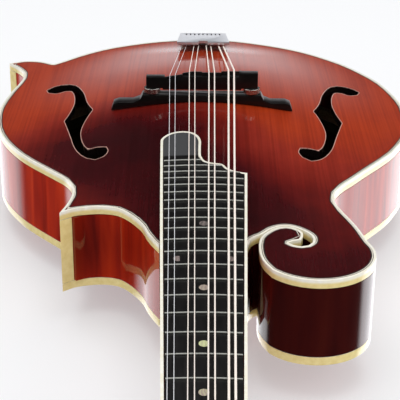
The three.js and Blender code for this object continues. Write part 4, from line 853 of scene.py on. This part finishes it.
for fret, x in ((5, 0), (7, 0), (10, 0), (12, -TWELFTH_SPREAD), (12, TWELFTH_SPREAD), (15, 0)):
    at = (fret_place(fret - 1) + fret_place(fret)) / 2
    top = DOT_RISE - x * x / (2 * BOARD_CROWN)
    bpy.ops.object.select_all(action="DESELECT")
    bpy.ops.mesh.primitive_cylinder_add(vertices=40, radius=DOT_RADIUS * MM, depth=DOT_DEPTH * MM,
                                        location=(x * MM, at * MM, (top - DOT_DEPTH / 2) * MM))
    bpy.ops.object.transform_apply(location=True, rotation=False, scale=False)
    dots.append(bpy.context.object)
set_piece(joined(dots, "position_dots"), NECK, pearl, ["fingerboard"])

# Bone: bleached, sawn and polished, with faint streaks.
bone, tree, shader, place = new_material("polished_bone")
drawn = add_node(tree, "ShaderNodeMapping", Vector=place, Scale=(60, 900, 900))
streaks = add_node(tree, "ShaderNodeTexNoise", Vector=drawn.outputs[0], Scale=1.0, Detail=2)
shade = ramp(tree, streaks.outputs["Fac"], [(0.35, "#f1ead8"), (0.7, "#ded2b8")])
set_inputs(shader, Base_Color=shade.outputs[0], Roughness=0.3)
nut = copy_of("nut", "nut_block", NECK)
soften(nut, 0.25)
set_piece(nut, NECK, bone, ["nut"])


# Bridge: an ebony foot fitted to the arch, a stepped ebony saddle and two threaded posts with
# milled thumbwheels 11 mm across.

BRIDGE_PLACE = 182.3
BRIDGE_SHIFT = -1.0
POST_SPREAD = 33.4
POST_SEAT = 14.4
POST_TOP = 27.2
POST_RADIUS = 1.5
WHEEL_FOOT = 19.3
WHEEL_THICKNESS = 3.4
WHEEL_RADIUS = 5.6
WHEEL_BORE = 1.85
WHEEL_RIDGES = 48
RIDGE_DEPTH = 0.28
CREST_DEPTH = 0.02
BORE_SIDES = 32
BORE_HIGH = 40
THREAD_STEP = 0.6
THREAD_DEPTH = 0.22
foot = copy_of("bridge_base", "bridge_foot", BODY)
soften(foot, 0.8, 3)
set_piece(foot, BODY, ebony, ["bridge_base"], angle=30)
saddle = copy_of("bridge_saddle", "bridge_saddle_block", BODY)
soften(saddle, 0.3)
set_piece(saddle, BODY, ebony, ["bridge_saddle"], body="saddle", angle=30)

# Nickel plate: turned brass, plated and buffed, with a fine brushed line round it.
nickel, tree, shader, place = new_material("nickel_plated_brass")
drawn = add_node(tree, "ShaderNodeMapping", Vector=place, Scale=(200, 200, 3000))
brush = add_node(tree, "ShaderNodeTexNoise", Vector=drawn.outputs[0], Scale=1.0, Detail=2)
polish = add_node(tree, "ShaderNodeMapRange", Value=brush.outputs["Fac"], i3=0.16, i4=0.34)
set_inputs(shader, Roughness=polish.outputs[0], Base_Color=linear("#cfcdc6"), Metallic=1.0)


def turned(name, profile, sides=40):
    """A round piece about z through (radius, height) pairs in millimetres, ends on the axis."""
    mesh = bpy.data.meshes.new(name)
    mesh.from_pydata([(radius * MM, 0, height * MM) for radius, height in profile],
                     [(i, i + 1) for i in range(len(profile) - 1)], [])
    piece = bpy.data.objects.new(name, mesh)
    bpy.context.scene.collection.objects.link(piece)
    only(piece)
    change = piece.modifiers.new("turn", "SCREW")
    change.steps = sides
    change.render_steps = sides
    change.use_merge_vertices = True
    change.merge_threshold = 1e-6
    bpy.ops.object.modifier_apply(modifier="turn")
    bpy.ops.object.mode_set(mode="EDIT")
    bpy.ops.mesh.select_all(action="SELECT")
    bpy.ops.mesh.normals_make_consistent(inside=False)
    bpy.ops.object.mode_set(mode="OBJECT")
    return piece


def moved(piece, x, y, z, turn=None):
    """Turns a piece about the origin, then moves it, in millimetres."""
    if turn is not None:
        piece.data.transform(turn)
    piece.data.transform(Matrix.Translation((x * MM, y * MM, z * MM)))
    return piece


def round_line(radii, start=0.0):
    """Points once round the origin, one for each radius; the start is in steps."""
    sweeps = [2 * math.pi * (i + start) / len(radii) for i in range(len(radii))]
    return [Vector((radius * math.cos(sweep), radius * math.sin(sweep), 0))
            for radius, sweep in zip(radii, sweeps)]


crest, root = WHEEL_RADIUS - CREST_DEPTH, WHEEL_RADIUS - RIDGE_DEPTH
for side, sign in (("treble", -1), ("bass", 1)):
    x = BRIDGE_SHIFT + sign * POST_SPREAD
    steps = [(0, POST_SEAT)]
    height = POST_SEAT
    while height < POST_TOP - THREAD_STEP:
        steps += [(POST_RADIUS - THREAD_DEPTH, height), (POST_RADIUS, height + THREAD_STEP / 2)]
        height += THREAD_STEP
    steps += [(POST_RADIUS - THREAD_DEPTH, POST_TOP), (0, POST_TOP)]
    post = moved(turned(f"bridge_screw_{side}", steps, 28), x, BRIDGE_PLACE, 0)
    set_piece(post, BODY, nickel, [f"bridge_post_{side}"], angle=20)
    rim = round_line([crest, root] * WHEEL_RIDGES)
    wheel = prism(f"milled_wheel_{side}", rim, WHEEL_FOOT, WHEEL_FOOT + WHEEL_THICKNESS)
    bore = prism("bore", round_line([WHEEL_BORE] * BORE_SIDES), 0, BORE_HIGH)
    apply_boolean(wheel, bore, "DIFFERENCE")
    soften(wheel, 0.15, 1)
    moved(wheel, x, BRIDGE_PLACE, 0)
    set_piece(wheel, BODY, nickel, [f"thumbwheel_{side}"], body=f"wheel_{side}", angle=20)


# Tailpiece: cast, ground and chromed, bent over the tail, with a comb of nine slots; and the
# turned ebony end button behind it.

# Chrome: satin plate over a ground casting, whose faint ripple it keeps.
chrome, tree, shader, place = new_material("chromed_casting")
cast = add_node(tree, "ShaderNodeTexNoise", Vector=place, Scale=90, Detail=2)
waves = add_node(tree, "ShaderNodeBump", Strength=0.02, Distance=0.001, Height=cast.outputs["Fac"])
set_inputs(shader, Normal=waves.outputs[0], Base_Color=linear("#cfd3d9"), Metallic=0.7,
           Roughness=0.3)
tail = copy_of("tailpiece", "cast_tailpiece", BODY)
soften(tail, 0.35)
set_piece(tail, BODY, chrome, ["tailpiece"], angle=30)

TAIL_BLOCK_DEPTH = 18.0
BUTTON_HEIGHT = -EDGE_DEPTH / 2
# The button's tapered plug, its neck and its domed head, as radius and distance from the tail.
BUTTON_PROFILE = [
    (0, -TAIL_BLOCK_DEPTH), (3.6, -TAIL_BLOCK_DEPTH), (4.2, 2.8), (5, 2.8), (4.6, 5.2), (5, 7.8),
    (6.6, 8.3), (7.6, 9.1), (8, 10.3), (8, 11.6), (7.5, 12.8), (6.5, 13.5), (5.2, 13.8), (0, 13.8)]
button = turned("turned_end_button", BUTTON_PROFILE)
moved(button, 0, BODY_REACH, BUTTON_HEIGHT, Matrix.Rotation(-math.pi / 2, 4, "X"))
set_piece(button, BODY, ebony, ["end_button"], angle=25)


# Tuners: four a side on a nickel plate, each a worm on its shaft with a pearloid button, and a
# post with a twelve-tooth gear.

FIRST_TUNER = 42.0
TUNER_PITCH = 24.0
TUNER_SPREAD = 21.0
WORM_OFFSET = 7.0
WORM_HEIGHT = -18.2
WORM_CORE = 1.5
WORM_OUTER = 2.85
THREAD_PITCH = 2.46
SHAFT_RADIUS = 1.4
WORM_TURNS = 3
WORM_SQUEEZE = 0.9
FLANK = 0.8
CREST = 0.25
SHAFT_START = 13.2
BEARING_END = 15.2
COLLAR_START = 26.6
SHOULDER = 0.2
BUTTON_START = 38.5
BUTTON_GRIP = 0.5
BUTTON_FLATNESS = 0.6
GEAR_FOOT = -19.7
GEAR_TOP = -16.7
GEAR_TEETH = 12
GEAR_TIP = 5.2
GEAR_ROOT = 3.9
# The oval of the button, as radius and distance along it, and the column of the string post, as
# radius and height over the face, with the waist that the string is wound on.
OVAL_PROFILE = [(0, 0), (2.2, 0), (3.2, 0.5), (4.4, 2.6), (5.6, 5.6), (6.1, 8.6), (5.7, 11.2),
                (4.4, 13.0), (2.4, 13.8), (0, 14.0)]
POST_PROFILE = [(0, -20.6), (2.4, -20.6), (2.4, -15), (3, -15), (3, 4), (2.4, 5), (2.25, 7.8),
                (2.4, 10.5), (3, 11.5), (3, 12.6), (2.6, 13), (0, 13)]

# Pearloid: cast celluloid with milky swirls, moulded to an oval and buffed.
pearloid, tree, shader, place = new_material("buffed_pearloid")
swirl = add_node(tree, "ShaderNodeTexNoise", Vector=place, Scale=220, Detail=3, Distortion=2.5)
milky = ramp(tree, swirl.outputs["Fac"], [(0.3, "#d8d2c4"), (0.55, "#f1ece0"), (0.75, "#e0dacb")])
set_inputs(shader, Base_Color=milky.outputs[0], Roughness=0.28)

worm_steps = [(0, SHAFT_START), (SHAFT_RADIUS, SHAFT_START), (SHAFT_RADIUS, BEARING_END),
              (WORM_CORE, BEARING_END + SHOULDER)]
for turn in range(WORM_TURNS):
    middle = TUNER_SPREAD + (turn - 1) * THREAD_PITCH * WORM_SQUEEZE
    worm_steps += [(WORM_CORE, middle - FLANK), (WORM_OUTER, middle - CREST),
                   (WORM_OUTER, middle + CREST), (WORM_CORE, middle + FLANK)]
worm_steps += [(WORM_CORE, COLLAR_START), (SHAFT_RADIUS, COLLAR_START + SHOULDER),
               (SHAFT_RADIUS, BUTTON_START + BUTTON_GRIP), (0, BUTTON_START + BUTTON_GRIP)]
oval_steps = [(radius, BUTTON_START + along) for radius, along in OVAL_PROFILE]
gear_line = round_line([GEAR_TIP, GEAR_TIP, GEAR_ROOT, GEAR_ROOT] * GEAR_TEETH, 0.5)
for side, sign in (("treble", -1), ("bass", 1)):
    plate = copy_of(f"tuner_plate_{side}", f"tuner_plate_{side}_sheet", HEAD)
    soften(plate, 0.2)
    set_piece(plate, HEAD, nickel, [f"tuner_plate_{side}"], angle=30)
    outwards = Matrix.Rotation(sign * math.pi / 2, 4, "Y")
    for k in range(4):
        number = k + 1
        along = -(FIRST_TUNER + TUNER_PITCH * k)
        knob = f"tuner_knob_{side}_{number}"
        shaft = turned(f"worm_and_shaft_{side}_{number}", worm_steps, 24)
        moved(shaft, 0, along + WORM_OFFSET, WORM_HEIGHT, outwards)
        set_piece(shaft, HEAD, nickel, [knob], body=f"knob_{side}_{number}", angle=30)
        oval = turned(f"button_{side}_{number}", oval_steps, 36)
        oval.data.transform(Matrix.Diagonal((BUTTON_FLATNESS, 1, 1, 1)))
        moved(oval, 0, along + WORM_OFFSET, WORM_HEIGHT, outwards)
        set_piece(oval, HEAD, pearloid, [knob], body=f"knob_{side}_{number}", angle=40)
        gear = prism(f"gear_{side}_{number}", gear_line, GEAR_FOOT, GEAR_TOP)
        column = f"string_post_{side}_{number}_column"
        post = joined([turned(column, POST_PROFILE, 32), gear], column)
        moved(post, sign * TUNER_SPREAD, along, 0)
        set_piece(post, HEAD, nickel, [f"string_post_{side}_{number}"],
                  body=f"post_{side}_{number}", angle=30)


# Strings: four pairs, one pair of bare steel and three wound with bronze, from the hooks over
# the saddle and the nut to their posts. Each is made in two parts that meet at the saddle.

# Drawn steel wire with fine lines from the die, painted near white and barely metal as painted
# sheen, so it reads bright.
plain_wire, tree, shader, place = new_material("drawn_steel_wire")
drawn = add_node(tree, "ShaderNodeMapping", Vector=place, Scale=(3000, 30, 3000))
lines = add_node(tree, "ShaderNodeTexNoise", Vector=drawn.outputs[0], Scale=1.0, Detail=1)
polish = add_node(tree, "ShaderNodeMapRange", Value=lines.outputs["Fac"], i3=0.3, i4=0.5)
set_inputs(shader, Roughness=polish.outputs[0], Base_Color=linear("#fbfcff"), Metallic=0.1)

# Bronze winding: soft wire wrapped closely round a steel core, three turns to two millimetres,
# painted pale cream and not metal as painted sheen, for a pale satin look.
wound_wire, tree, shader, place = new_material("phosphor_bronze_winding")
turns = add_node(tree, "ShaderNodeTexWave", {"bands_direction": "Y"}, Vector=place, Scale=480)
ridges = add_node(tree, "ShaderNodeBump", Strength=0.5, Distance=0.0001,
                  Height=turns.outputs["Fac"])
set_inputs(shader, Normal=ridges.outputs[0], Base_Color=linear("#fff3e8"), Metallic=0.0,
           Roughness=0.45)
STRING_RING = 6
STRING_CLEARANCE = 0.98


def string_stations(node):
    """Middle points and radius of a string, from its post to its hook, in metres."""
    places = sorted({tuple(round(c, 7) for c in vertex.co)
                     for vertex in bpy.data.objects[node].data.vertices}, key=lambda c: c[1])
    rings = [places[i:i + STRING_RING] for i in range(0, len(places), STRING_RING)]
    middles = [sum((Vector(c) for c in ring), Vector()) / len(ring) for ring in rings]
    return middles, (Vector(rings[0][0]) - middles[0]).length


def wire_through(name, stations, radius, step=0.008):
    """A round wire through points in metres."""
    points = [stations[0]]
    for start, end in zip(stations, stations[1:]):
        count = max(1, round((end - start).length / step))
        points += [start.lerp(end, i / count) for i in range(1, count + 1)]
    curve = bpy.data.curves.new(name, "CURVE")
    curve.dimensions = "3D"
    curve.bevel_depth = radius
    curve.bevel_resolution = 3
    curve.use_fill_caps = True
    spline = curve.splines.new("POLY")
    spline.points.add(len(points) - 1)
    for spot, point in zip(spline.points, points):
        spot.co = (*point, 1)
    piece = bpy.data.objects.new(name, curve)
    bpy.context.scene.collection.objects.link(piece)
    only(piece)
    bpy.ops.object.convert(target="MESH")
    return bpy.context.object


for number in range(1, 9):
    node = f"string_{number}"
    look, slot = (plain_wire, "plain_string") if number < 3 else (wound_wire, "wound_string")
    stations, radius = string_stations(node)
    at_nut, before, behind, hook = stations[2:6]
    for name, line, fixed, lifted in (
            (f"string_{number}_speaking", stations[:4], at_nut, before),
            (f"string_{number}_afterlength", [before, behind, hook], hook, behind)):
        part = wire_through(name, line, radius * STRING_CLEARANCE)
        part.data.materials.clear()
        part.data.materials.append(look)
        only(part)
        bpy.ops.object.shade_smooth()
        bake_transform(part)
        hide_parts(node)


# Pieces kept from the frame: blocks, linings, bars and rod inside the body, the protectors,
# the heel cap and the support under the board.

def bare_wood(name, light, dark, scale):
    """Planed wood left bare: soft streaks along the grain and a dull surface."""
    material, tree, shader, place = new_material(name)
    drawn = add_node(tree, "ShaderNodeMapping", Vector=place, Scale=scale)
    grain = add_node(tree, "ShaderNodeTexNoise", Vector=drawn.outputs[0], Scale=1.0, Detail=3)
    shade = ramp(tree, grain.outputs["Fac"], [(0.35, light), (0.7, dark)])
    set_inputs(shader, Base_Color=shade.outputs[0], Roughness=0.7)
    return material


# Steel: the truss rod, drawn and left with its mill scale.
rod_steel, tree, shader, place = new_material("black_rolled_steel")
scale_marks = add_node(tree, "ShaderNodeTexNoise", Vector=place, Scale=160, Detail=4)
polish = add_node(tree, "ShaderNodeMapRange", Value=scale_marks.outputs["Fac"], i3=0.35, i4=0.6)
set_inputs(shader, Roughness=polish.outputs[0], Base_Color=linear("#8d8f92"), Metallic=1.0)

looks = {
    "flamed_maple": neck_maple,
    "ivoroid": ivoroid,
    "bare_maple": bare_wood("planed_maple", "#e2c9a0", "#cfae80", (60, 500, 500)),
    "bare_spruce": bare_wood("planed_spruce", "#e3cba0", "#cda774", (700, 30, 700)),
    "steel": rod_steel,
}
for row in frame["record"]["subparts"]:
    kept = bpy.data.objects.get(row["node"])
    if kept is None or kept.hide_render:
        continue
    kept.data.materials.clear()
    kept.data.materials.append(looks[row["material_slot"]])
